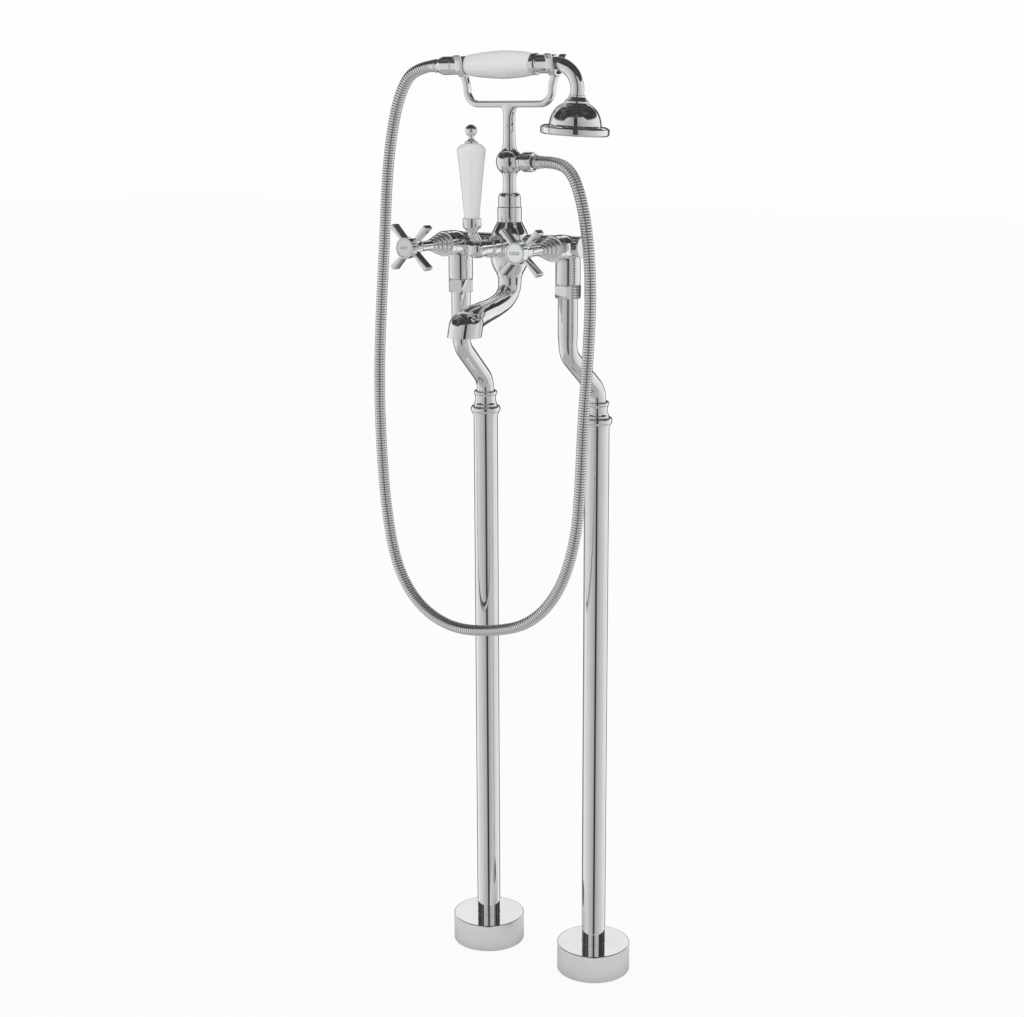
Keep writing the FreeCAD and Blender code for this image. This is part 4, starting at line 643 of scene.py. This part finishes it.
def makeBonnet(name, sign):
    # A turned profile: a straight band, then rings that narrow evenly with a groove behind each.
    b = bonnetSizes
    step = (b["length"] - b["band"]) / b["rings"]
    start = b["back"] + b["band"]
    steps = [(0, b["back"]), (b["wide"] - 0.6, b["back"], 0.3), (b["wide"], b["back"] + 0.7, 0.4),
             (b["wide"], start - 0.8, 0.8)]
    for i in range(b["rings"]):
        radius = b["nose"] + (b["wide"] - b["nose"]) * (b["rings"] - 1 - i) / b["rings"]
        foot = start + i * step
        steps += [(radius - b["groove"], foot, 0.3), (radius - 0.2, foot + 0.9, 0.8),
                  (radius + 0.1, foot + step - 1.4, 0.9), (radius - 0.9, foot + step - 0.1, 0.6)]
    end = b["back"] + b["length"]
    addPiece(name + "ValveBonnet", [lathe(outline(*steps, (0, end)), valveAt(sign), front)], chrome)


def makeCross(name, sign, enamel):
    # Turned stem and bezel; each blade is a flat section carried outwards, thicker towards its tip.
    c = crossSizes
    at = valveAt(sign)
    f, r = c["front"], c["bezel"]
    bezelBack = f - c["bezelDepth"]
    coreBack = f - c["coreDepth"]
    seat = f - c["discBack"]
    edge = c["disc"] + 0.05
    turned = outline(
        (0, c["back"]), (c["stem"], c["back"], 0.4), (c["stem"], coreBack - 3, 1.5),
        (c["core"] - 0.6, coreBack, 1.2), (c["core"], coreBack + 2.0, 0.8), (c["core"], bezelBack - 1.5, 0.8),
        (r - 1.6, bezelBack - 0.4, 0.9), (r, bezelBack + 1.8, 0.9), (r, f - 0.1, 0.7), (9.9, f + 0.25, 0.3),
        (edge, f - 0.2, 0.15), (edge, seat, 0.1), (0, seat))
    shells = [lathe(turned, at, front)]
    centre = at + front * (bezelBack - c["bladeBehind"])
    for turn in np.radians((45, 135, 225, 315)):
        way = math.cos(turn) * right + math.sin(turn) * up
        path = centre + np.linspace(c["core"] - 3, c["reach"], 30)[:, None] * way

        def swell(share):
            thick = 1 + (c["tip"] / c["root"] - 1) * share**1.6
            return np.stack([np.ones_like(share), thick], 1)

        section = squareRound(c["bladeDepth"], c["root"], 7.0, 36)
        shells.append(carry(path, section, front, soft=1.0, step=1.2, swell=swell))
    body = name + "_handle"
    addPiece(name + "CrossHandle", shells, chrome, body)
    disc = outline((0, seat), (c["disc"], seat), (c["disc"], f - 0.1, 0.35), ("via", 4.7, f + 0.36),
                   (0, f + 0.5))
    addPiece(name + "IndexDisc", [lathe(disc, at, front)], enamel, body)


def makeWord(word, name, sign, ink):
    # The letters are a filled text curve, made mesh, turned to face the front and set on the
    # disc's dome, which falls away by r^2 / (2 dome).
    w = wordSizes
    curve = bpy.data.curves.new(name + "Letters", "FONT")
    curve.body = word
    curve.align_x, curve.align_y = "CENTER", "CENTER"
    curve.size = w["size"] * mm
    curve.fill_mode = "BOTH"
    curve.extrude = w["thick"] * mm
    curve.offset = w["bold"] * mm
    holder = bpy.data.objects.new("letterLine", curve)
    bpy.context.scene.collection.objects.link(holder)
    mesh = bpy.data.meshes.new_from_object(holder)
    bpy.data.objects.remove(holder)
    points = np.empty(len(mesh.vertices) * 3)
    mesh.vertices.foreach_get("co", points)
    flat = points.reshape(-1, 3)
    sag = (flat[:, 0] ** 2 + flat[:, 1] ** 2) / (2 * w["dome"] * mm)
    lift = (crossSizes["front"] + w["lift"]) * mm - sag
    at = mm * valveAt(sign)
    placed = at + flat[:, :1] * right + flat[:, 1:2] * up + (lift + flat[:, 2])[:, None] * front
    mesh.vertices.foreach_set("co", placed.ravel())
    mesh.materials.append(ink)
    piece = bpy.data.objects.new(name + "IndexWord", mesh)
    bpy.context.scene.collection.objects.link(piece)
    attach(piece, name + "_handle")


for name, sign, enamel, ink in (("hot", -1, hotEnamel, greyInk), ("cold", 1, coldEnamel, greenInk)):
    makeBonnet(name, sign)
    makeCross(name, sign, enamel)
    makeWord(name.upper(), name, sign, ink)
print("valves and cross handles")

leverSizes = {
    "hub": 10.0, "hubBack": 57.3, "hubFront": 73.8, "dome": 7.75, "cupZ": 18.0, "cup": 9.8, "cupHeight": 14.0,
    "seatZ": 28.0, "foot": 8.2, "height": 81.0, "coreRadius": 2.95, "coreTop": 112.5, "arm": (5.5, 5.2),
    "bonnet": [(0, 28.0), (11.9, 28.0, 0.3), ("via", 12.3, 29.5), (11.9, 31.0, 0.3), (11.0, 31.0, 0.3),
               (11.0, 42.5, 0.8), (10.0, 44.3, 0.6), (9.0, 44.6, 0.3), (9.0, 57.0, 0.6), (0, 57.0)],
    "armLine": [(0, -125.5, 861.5), (0, -126.2, 866.5), (0, -129.2, 871.5), (0, -132.6, 875.2),
                (0, -134.0, 879.5)],
    "grip": [(8.35, 8.0), (9.1, 18.0), (10.5, 32.0), (12.2, 50.0), (13.75, 64.0), (14.6, 71.5), (14.8, 74.3),
             (14.5, 75.8), (13.2, 77.6), (11.2, 79.3), (9.3, 80.4), (8.0, 80.85), (7.2, 81.0)],
    "ball": 6.3, "ballZ": 13.2, "neck": [(4.3, 2.9), (3.4, 4.0), (3.1, 5.4), (3.2, 7.2)],
    "screwAim": (-0.45, -0.75, 0.48), "screwShare": 0.28,
    "screw": [(0, 9.9), (2.25, 9.9), (2.25, 12.1, 0.2), (1.2, 12.1, 0.1), (1.1, 10.5, 0.1), (0, 10.5)],
}


def makeDiverter():
    # Hub, cup, core, grip and finial are turned; the arm is an oval section carried along its line.
    hubAt = onColumn("barrelZ")
    s = leverSizes
    addPiece("diverterBonnet", [lathe(outline(*s["bonnet"]), hubAt, front)], chrome)
    middle = (s["hubBack"] + s["hubFront"]) / 2
    dome = ovalArc(s["hub"], s["dome"], middle + 0.5, 0, np.pi / 2, 16)
    drum = outline((0, s["hubBack"]), (s["hub"], s["hubBack"], 1.4), (s["hub"], middle - 0.5))
    hub = np.vstack([drum, dome])
    leverAt = np.array([0, layout["leverY"], layout["barrelZ"]])
    arm = carry(throughPoints(s["armLine"], 8), squareRound(*s["arm"], 2.0, 48), right, soft=0.3, step=0.8,
                swell=lambda share: 1.28 - 0.28 * np.clip(share * 1.6, 0, 1) ** 0.8)
    z = s["cupZ"]
    rim = z + s["cupHeight"]
    bore = s["foot"] + 0.12
    cup = outline((0, z - 2), (4.4, z - 1.2, 1.0), (6.6, z + 2.2, 2.5), (9.5, z + 4.4, 2.0),
                  (s["cup"], z + 6.5, 1.2), (s["cup"], rim, 0.5), (bore, rim, 0.2), (bore, s["seatZ"], 0.1),
                  (0, s["seatZ"]))
    core = outline((0, s["seatZ"]), (s["coreRadius"], s["seatZ"], 0.1), (s["coreRadius"], s["coreTop"], 0.3),
                   (0, s["coreTop"]))
    addPiece("diverterLever", [lathe(hub, hubAt, front), arm, lathe(cup, leverAt, turns=80),
                               lathe(core, leverAt, turns=32)], chrome, "diverter")
    grip = np.vstack([outline((0, 0.1), (s["foot"], 0.1, 0.4), (s["foot"], 5.0, 0.2)),
                      throughPoints(s["grip"], 8), [(0, s["height"])]])
    grip = lathe(grip, leverAt + [0, 0, s["seatZ"]], turns=112)
    addPiece("leverGrip", [grip], porcelain, "diverter")
    ball = ovalArc(s["ball"], s["ball"], s["ballZ"], -1.02, np.pi / 2, 26)
    finial = np.vstack([outline((0, 0), (7.1, 0, 0.5), (7.1, 2.0, 0.7), (5.0, 2.5, 0.5)),
                        throughPoints(s["neck"], 6), ball])
    top = leverAt + [0, 0, s["seatZ"] + s["height"] + 0.1]
    addPiece("leverFinial", [lathe(finial, top, turns=80)], chrome, "diverter")
    pivot = hubAt + front * (s["hubBack"] + (s["hubFront"] - s["hubBack"]) * s["screwShare"])
    screw = lathe(outline(*s["screw"]), pivot, unit(s["screwAim"]), turns=36)
    addPiece("leverGrubScrew", [screw], blackHole, "diverter")


makeDiverter()
print("diverter and lever")

spoutSizes = {
    "mouth": 18.3, "skirt": 13.0, "dome": 14.8, "lean": 0.27, "wall": 1.7, "ledge": 5.5, "reach": 88.0,
    "drop": 56.5, "neck": 35.0,
    # The line is y and z from the neck; the girth is the share of the line and the radius there.
    "line": [(0, 1), (0, -4), (-0.6, -10), (-4.5, -17.5), (-12, -23.5), (-22, -27.6), (-36, -31.2),
             (-52, -34.0), (-66, -36.6), (-78, -40.2), (-84, -42.6)],
    "girth": [(0.0, 13.0), (0.08, 12.6), (0.2, 11.9), (0.4, 11.3), (0.58, 11.6), (0.75, 12.8),
              (0.9, 14.2), (1.0, 14.8)],
}


def makeSpout():
    # A round section carried from the hub's neck down and forward; the bell is a dome on a short
    # skirt, sheared back by y + lean (z - lip) so that its mouth stays level.
    s = spoutSizes
    top = layout["barrelZ"] - s["neck"]
    path = throughPoints([(0, layout["hubY"] + y, top + z) for y, z in s["line"]], 8)
    tube = carry(path, roundSection(1.0, 96), right, soft=0.02, step=1.6,
                 swell=lambda share: np.interp(share, *np.transpose(s["girth"])))
    lip = top - s["drop"]
    r = s["mouth"]
    dome = ovalArc(r, s["dome"], s["skirt"], np.pi / 2, 0.04, 30)
    inside = r - s["wall"]
    skirt = outline((r, s["skirt"], 0.1), (r, 0.0, 0.45), (inside, 0.0, 0.35), (inside, s["ledge"], 1.0),
                    (0, s["ledge"]))
    points, faces = lathe(np.vstack([dome, skirt]), (0, layout["hubY"] - s["reach"], lip), turns=128)
    points[:, 1] += s["lean"] * (points[:, 2] - lip * mm)
    addPiece("spout", [tube, (points, faces)], chrome)


makeSpout()

columnSizes = {
    "collar": 13.2, "collarHeight": 16.0, "nut": 12.2, "nutHeight": 15.4, "ball": 14.5, "ballLow": -11.9,
    "ballHigh": 11.4, "spigot": 6.5, "spigotLength": 20.0, "screwZ": 5.0, "screwTurn": -55,
    "neck": [(7.6, -34), (7.4, -31.5), (7.0, -27), (6.9, -22), (7.1, -17.5), (7.7, -14)], "foot": -45,
    "dotAim": (0.60, -0.79, -0.08),
    "dot": [(0, 14.2), (1.5, 14.2), (1.5, 14.62, 0.12), (0.7, 14.62, 0.1), (0.6, 14.3, 0.05), (0, 14.3)],
    "screw": [(0, 10.05), (2.0, 10.05), (2.0, 13.1, 0.2), (1.0, 13.1, 0.1), (1.0, 11.8, 0.1), (0, 11.8)],
}
forkSizes = {
    "stem": 6.4, "foot": 8.8, "footRise": 11.3, "flare": 8.5, "flareFrom": 0.62, "half": 54.0,
    "corner": 15.0, "barZ": 1008.0, "armBend": 1025.0, "armTop": 1036.9, "thick": 3.5, "deep": 4.2,
    "hookX": 57.5, "hookWide": 4.3, "strap": 11.5, "wall": 1.5,
    "curl": [(-16.0, 9.6), (-15.4, 8.9), (-14.4, 8.0), (-13.1, 6.6), (-12.0, 4.6), (-11.5, 2.0)],
}


def makeColumn():
    # Turned collar and nut; the ball is the arc r cos t, r sin t between its lowest and highest rings.
    c = columnSizes
    at = onColumn("columnZ")
    high = c["collarHeight"]
    collar = outline((0, 0), (c["collar"], 0, 0.7), (c["collar"], high, 0.7), (0, high))
    addPiece("columnCollar", [lathe(collar, at)], chrome)
    nut = outline((0, 0), (c["nut"], 0, 0.8), (c["nut"], 10.6, 1.2), (11.2, 13.6, 2.2), (8.8, 15.3, 1.4),
                  (0, c["nutHeight"]))
    addPiece("columnUnionNut", [lathe(nut, at + up * high)], chrome)
    ballAt = onColumn("ballZ")
    r = c["ball"]
    sphere = ovalArc(r, r, 0, math.asin(c["ballLow"] / r), math.asin(c["ballHigh"] / r), 40)
    column = np.vstack([[(0, c["foot"]), (c["neck"][0][0], c["foot"])], throughPoints(c["neck"], 6), sphere,
                        [(0, c["ballHigh"])]])
    spigot = outline((0, 0), (c["spigot"], 0), (c["spigot"], c["spigotLength"], 0.2), (0, c["spigotLength"]))
    addPiece("outletBall", [lathe(column, ballAt, turns=128), lathe(spigot, ballAt, right)], chrome)
    addPiece("ballPin", [lathe(outline(*c["dot"]), ballAt, unit(c["dotAim"]), turns=32)], blackHole)
    turn = math.radians(c["screwTurn"])
    screw = lathe(outline(*c["screw"]), at + up * c["screwZ"], (math.sin(turn), -math.cos(turn), 0), turns=36)
    addPiece("columnGrubScrew", [screw], blackHole)


def makeFork():
    # Sections carried along lines: a stem flared at both ends, a flat bar bent into a U, and two
    # strap hooks, each half a circle whose ends curl outwards.
    f = forkSizes
    y = layout["hubY"]
    foot = layout["ballZ"] + f["footRise"]
    stemPath = np.stack([np.zeros(60), np.full(60, y), np.linspace(foot, f["barZ"] + 1.5, 60)], 1)

    def stemSwell(share):
        low = np.exp(-share * 9.0)
        high = np.clip((share - f["flareFrom"]) / (1 - f["flareFrom"]), 0, 1)
        wide = f["stem"] + (f["foot"] - f["stem"]) * low + f["flare"] * high**3.2
        deep = f["stem"] + (f["foot"] - f["stem"]) * low - (f["stem"] - f["deep"] + 0.1) * high**1.4
        return np.stack([deep, wide], 1)

    stem = carry(stemPath, roundSection(1.0, 72), back, soft=0.02, step=1.0, swell=stemSwell)
    bar = roundBend([(-f["half"], y, f["armBend"]), (-f["half"], y, f["barZ"]), (f["half"], y, f["barZ"]),
                     (f["half"], y, f["armBend"])], f["corner"], 20)
    lean = throughPoints([(f["half"], y, f["armBend"]), (f["half"] + 0.7, y, f["armBend"] + 4.0),
                          (f["hookX"], y, f["armTop"])], 6)[1:]
    bar = np.vstack([lean[::-1] * (-1, 1, 1), bar, lean])
    barSection = squareRound(f["deep"], f["thick"], 3.2, 36)
    shells = [stem, carry(bar, barSection, back, soft=0.6, step=1.5)]
    curl = throughPoints(f["curl"], 6)
    cup = -ovalArc(f["strap"], f["strap"], 0, 0, np.pi, 30)
    strapLine = np.vstack([curl, cup, curl[::-1] * (-1, 1)])

    def strapSwell(share):
        return np.stack([np.ones_like(share), 0.85 + 0.15 * np.sin(np.pi * share)], 1)

    for sign in (-1, 1):
        hook = onColumn("handsetZ", sign * f["hookX"])
        strap = hook + strapLine[:, :1] * back + strapLine[:, 1:] * up
        shells.append(carry(strap, squareRound(f["hookWide"], f["wall"], 4.0, 32), right, soft=0.7, step=1.0,
                            swell=strapSwell))
    addPiece("cradleFork", shells, chrome)


makeColumn()
makeFork()
print("column and cradle")

ferrule = [(0, 0), (6.6, 0, 0.4), (6.7, 4.3, 0.3), ("via", 7.35, 5.5), (6.7, 6.7, 0.3)]
endSizes = {  # where each part starts along x, then its profile
    "hoseOutletNut": (13.2, [
        (0, 0), (8.1, 0, 0.4), (8.6, 2.2, 0.5), (8.9, 3.4, 0.6), (10.4, 6.2, 1.6), (10.6, 8.0, 1.0),
        (10.6, 15.6, 1.2), (10.1, 18.4, 0.5), (8.7, 18.4, 0.3), (8.3, 16.2, 0.2), (0, 16.2)]),
    "hoseOutletCrimp": (30.1, ferrule + [(6.7, 12.5, 0.5), (0, 12.5)]),
    "handsetHoseCrimp": (-100.5, ferrule + [(6.7, 11.0, 0.3), (0, 11.0)]),
    "handsetHoseNut": (-89.5, [
        (0, 0), (8.2, 0, 0.5), (8.4, 1.6, 0.5), (9.4, 3.2, 1.2), (9.8, 5.5, 1.5), (9.8, 17.8, 0.7),
        (9.2, 18.45, 0.2), (0, 18.45)]),
    "handsetTail": (-71.0, [
        (0, 0.05), (9.2, 0.05, 0.2), (9.7, 1.2, 0.5), (9.7, 13.8, 0.5), (8.9, 14.6, 0.4), (8.9, 15.4, 0.3),
        (9.9, 16.2, 0.6), (9.9, 18.2, 0.4), (0, 18.2)]),
}
handsetSizes = {
    "gripLeft": -52.8, "gripLength": 83.2, "neck": 7.15, "bend": 26.5, "turn": 94.0, "drop": 7.0, "into": 2.0,
    "gripFoot": [(0, 0), (9.9, 0.0), (10.35, 0.25)],
    "grip": [(10.6, 0.9), (11.6, 6.0), (13.0, 18.0), (14.15, 32.0), (14.65, 46.0), (14.2, 60.0), (12.9, 73.0),
             (11.5, 82.2)],
    "gripEnd": [(11.2, 82.95), (10.8, 83.2), (0, 83.2)],
    "collar": [(0, 0), (10.7, 0.0, 0.4), (11.3, 0.6, 0.4), (11.3, 5.0, 0.6), (10.3, 6.6, 0.6),
               (9.3, 6.7, 0.3), (9.3, 8.4, 0.3), (9.7, 8.8, 0.3), (9.7, 27.4, 0.6), (9.1, 28.1, 0.3),
               (0, 28.1)],
    "roseNeck": [(0, 3.5), (8.4, 3.5, 0.5), (8.6, 1.2, 0.5), (10.2, -0.8, 1.0), (12.1, -2.2, 0.6),
                 (12.5, -3.2, 0.4), (12.5, -4.6, 0.3)],
    "roseBell": [(13.2, -5.2), (16.9, -7.0), (20.6, -10.0), (23.7, -14.0), (25.9, -18.6), (27.3, -23.6),
                 (27.7, -27.2)],
    "roseRim": [(28.6, -28.0, 0.1), (33.2, -28.3, 0.9), (36.5, -30.2, 1.0), (36.5, -36.0, 1.2),
                (34.6, -37.5, 0.7), (33.2, -37.5, 0.3), (33.0, -34.6, 0.3), (0, -34.6)],
}


def makeHoseEnds():
    # Profiles turned about the line of the hose's end.
    for name, (x, profile) in endSizes.items():
        level, body = ("handsetZ", "handset") if name.startswith("handset") else ("ballZ", "stand")
        addPiece(name, [lathe(outline(*profile), onColumn(level, x), right)], chrome, body)


def makeHandset():
    # Turned grip, collar and rose; the neck is a circle carried round an arc of radius b, then straight.
    h = handsetSizes
    at = onColumn("handsetZ", h["gripLeft"])
    grip = np.vstack([h["gripFoot"], throughPoints(h["grip"], 10), h["gripEnd"]])
    addPiece("handsetGrip", [lathe(grip, at, right, turns=112)], porcelain, "handset")
    at = at + right * h["gripLength"]
    start = at + right * h["collar"][-1][1]
    b = h["bend"]
    turn = np.radians(np.linspace(0, h["turn"], 50))[:, None]
    arc = start + b * np.sin(turn) * right - b * (1 - np.cos(turn)) * up
    way = math.cos(turn[-1, 0]) * right - math.sin(turn[-1, 0]) * up
    path = np.vstack([start - right * h["into"], arc, arc[-1] + way * (h["drop"] + h["into"])])
    neck = carry(path, roundSection(h["neck"], 72), back, soft=0.3, step=1.2)
    addPiece("handsetNeck", [lathe(outline(*h["collar"]), at, right), neck], chrome, "handset")
    end = arc[-1] + way * h["drop"]
    bell = [outline(*h["roseNeck"]), throughPoints(h["roseBell"], 8), outline(*h["roseRim"])]
    addPiece("roseBody", [lathe(np.vstack(bell), end, -way, turns=144)], chrome, "handset")


makeHoseEnds()
makeHandset()
print("handset")

finishOfNode = {"floor_flange": "brass", "feed_pipe": "copper", "olive": "brass", "washer": "washer_rubber",
                "cartridge": "brass", "fixed_disc": "ceramic", "turning_disc": "ceramic", "spindle": "brass",
                "diverter_plug": "brass"}
for name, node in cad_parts.items():
    finish = next((f for key, f in finishOfNode.items() if key in name), "chrome")
    for slot in node.material_slots:
        slot.material = nodeFinish[finish]

studio = {
    "white": 0.985,              # what the camera sees behind the object
    "fill": 0.86,                # light that falls on dull surfaces
    "axis": (0.5486, -0.8361),   # level direction of the studio's dark slot
    # The walls' brightness, and the height at which the ceiling starts, by the angle from that axis.
    "slot": [(0, 0.03), (7, 0.03), (9.5, 0.36), (25, 0.46), (60, 0.60), (106, 0.80), (126, 0.93), (133, 0.9),
             (144, 0.08), (180, 0.06)],
    "wallTop": [(0, 36), (38, 36), (56, 22), (125, 18), (142, 24), (155, 32), (180, 32)],
    "ceilingEdge": 2.5, "ceiling": 0.04, "haze": 0.12,
    "backWall": 0.88, "backFrom": 140, "backTo": 156, "backLow": 21.5, "backHigh": 23.5,
    "cloud": 3.2, "cloudDark": 0.3, "cloudShare": 0.22,
    "low": 0.42, "lowFrom": -34.0, "lowTo": -42.0,
    "lampPower": 9.0, "lampWide": 1.6, "lampAt": (0.2, -1.6, 2.6), "lampTurn": (42, 0, 8),
    "floorReach": 14.0, "floorDrop": 0.0005, "cardX": 0.075, "cardRadius": 0.111,
}


def rayKind(recipe, *kinds):
    # 1 for a ray of one of these kinds, else 0.
    first, *others = [recipe.node("LightPath", out=f"Is {kind} Ray") for kind in kinds]
    return sum(others, first)


def makeWorld():
    # Seen directly the world is white; in reflections it is pale walls with a dark slot and ceiling.
    s = studio
    world = bpy.data.worlds.new("studio")
    bpy.context.scene.world = world
    world.use_nodes = True
    r = Recipe(world.node_tree)
    way = r.node("TexCoord", out="Generated")
    level = r.node("VectorMath", {"operation": "MULTIPLY"}, {0: way, 1: (1.0, 1.0, 0.0)})
    level = r.node("VectorMath", {"operation": "NORMALIZE"}, {0: level})
    axis = (*s["axis"], 0.0)
    facing = r.node("VectorMath", {"operation": "DOT_PRODUCT"}, {0: level, 1: axis}, "Value")
    height = r.node("SeparateXYZ", {}, {0: way}, "Z")
    swing = r.node("Math", {"operation": "ARCCOSINE", "use_clamp": False}, {0: facing * 0.99999})
    rise = r.node("Math", {"operation": "ARCSINE"}, {0: height}) * (180 / math.pi)
    stops = [(angle / 180, level) for angle, level in s["slot"]]
    walls = r.node("ValToRGB", {"stops": stops}, {0: swing / math.pi})
    behind = r.span(swing, 0, 1, math.radians(s["backFrom"]), math.radians(s["backTo"]))
    behind = behind * r.span(rise, 0, 1, s["backLow"], s["backHigh"])
    walls = r.blendColour(behind, walls, s["backWall"])
    tops = [(angle / 180, height / 90) for angle, height in s["wallTop"]]
    top = r.node("ValToRGB", {"stops": tops}, {0: swing / math.pi}) * 90
    ceiling = r.span(rise - top, 0, 1, -s["ceilingEdge"], s["ceilingEdge"], True)
    cloud = r.node("TexNoise", {}, {"Vector": way, "Scale": s["cloud"], "Detail": 3.0})
    dark = r.blendColour(r.span(cloud, 0, 1, 0.48, 0.72), s["ceiling"], s["haze"])
    walls = r.blendColour(r.span(cloud, 0, s["cloudShare"], 0.45, 0.7), walls, s["cloudDark"])
    low = r.span(rise, 0, 1, s["lowFrom"], s["lowTo"], True)
    room = r.blendColour(ceiling, walls, dark)
    room = r.blendColour(low, room, s["low"])
    seen = r.blendColour(rayKind(r, "Camera", "Transmission"), room, s["white"])
    shown = rayKind(r, "Camera", "Glossy", "Transmission")
    light = r.blendColour(shown, s["fill"], seen)
    glow = r.node("Background", {}, {"Color": light, "Strength": 1.0})
    r.node("OutputWorld", {}, {"Surface": glow})


def flatSheet(name, points, faces, material):
    mesh = bpy.data.meshes.new(name)
    mesh.from_pydata(points, [], faces)
    mesh.materials.append(material)
    sheet = bpy.data.objects.new(name, mesh)
    bpy.context.scene.collection.objects.link(sheet)
    return sheet


def makeFloor():
    material, r = newRecipe("paleFloor")
    mottle = r.noise(6.0, 3)
    colour = r.blendColour(mottle, 0.93, 0.90)
    dull = r.node("BsdfDiffuse", {}, {"Color": colour})
    glow = r.node("Emission", {}, {"Color": studio["white"], "Strength": 1.0})
    shown = rayKind(r, "Camera", "Glossy", "Transmission")
    mixed = r.node("MixShader", {}, {0: shown * 0.93, 1: dull, 2: glow})
    r.node("OutputMaterial", {}, {"Surface": mixed})
    reach, drop = studio["floorReach"], studio["floorDrop"]
    corners = [(x * reach, y * reach, -drop) for x, y in ((-1, -1), (1, -1), (1, 1), (-1, 1))]
    floor = flatSheet("floor", corners, [(0, 1, 2, 3)], material)
    floor.visible_glossy = False


def makePaintedShadeCards():
    # Grey discs on the floor round the covers, seen only in reflections: painted shade that stands in for the
    # shaded floor next to the covers.
    material, r = newRecipe("paintedShadeCard")
    grain = r.noise(40.0, 3)
    r.surface(Base_Color=r.blendColour(grain, 0.72, 0.68), Roughness=0.9)
    v = np.linspace(0, 2 * np.pi, 64, endpoint=False)
    disc = np.stack([np.cos(v), np.sin(v), 0 * v], 1) * studio["cardRadius"]
    for number, sign in enumerate((-1, 1)):
        ring = disc + [sign * studio["cardX"], 0, -0.0002 + 0.0001 * number]
        card = flatSheet(f"paintedShadeCard{number}", ring.tolist(), [tuple(range(64))], material)
        card.visible_camera = card.visible_diffuse = card.visible_shadow = False


def makeLamp():
    lamp = bpy.data.lights.new("softKey", "AREA")
    lamp.shape, lamp.size, lamp.energy = "DISK", studio["lampWide"], studio["lampPower"]
    holder = bpy.data.objects.new("softKey", lamp)
    holder.location = studio["lampAt"]
    holder.rotation_euler = np.radians(studio["lampTurn"])
    holder.visible_glossy = False
    bpy.context.scene.collection.objects.link(holder)


makeWorld()
makeFloor()
makePaintedShadeCards()
makeLamp()
bpy.context.scene.view_settings.view_transform = "Standard"
print("studio set")
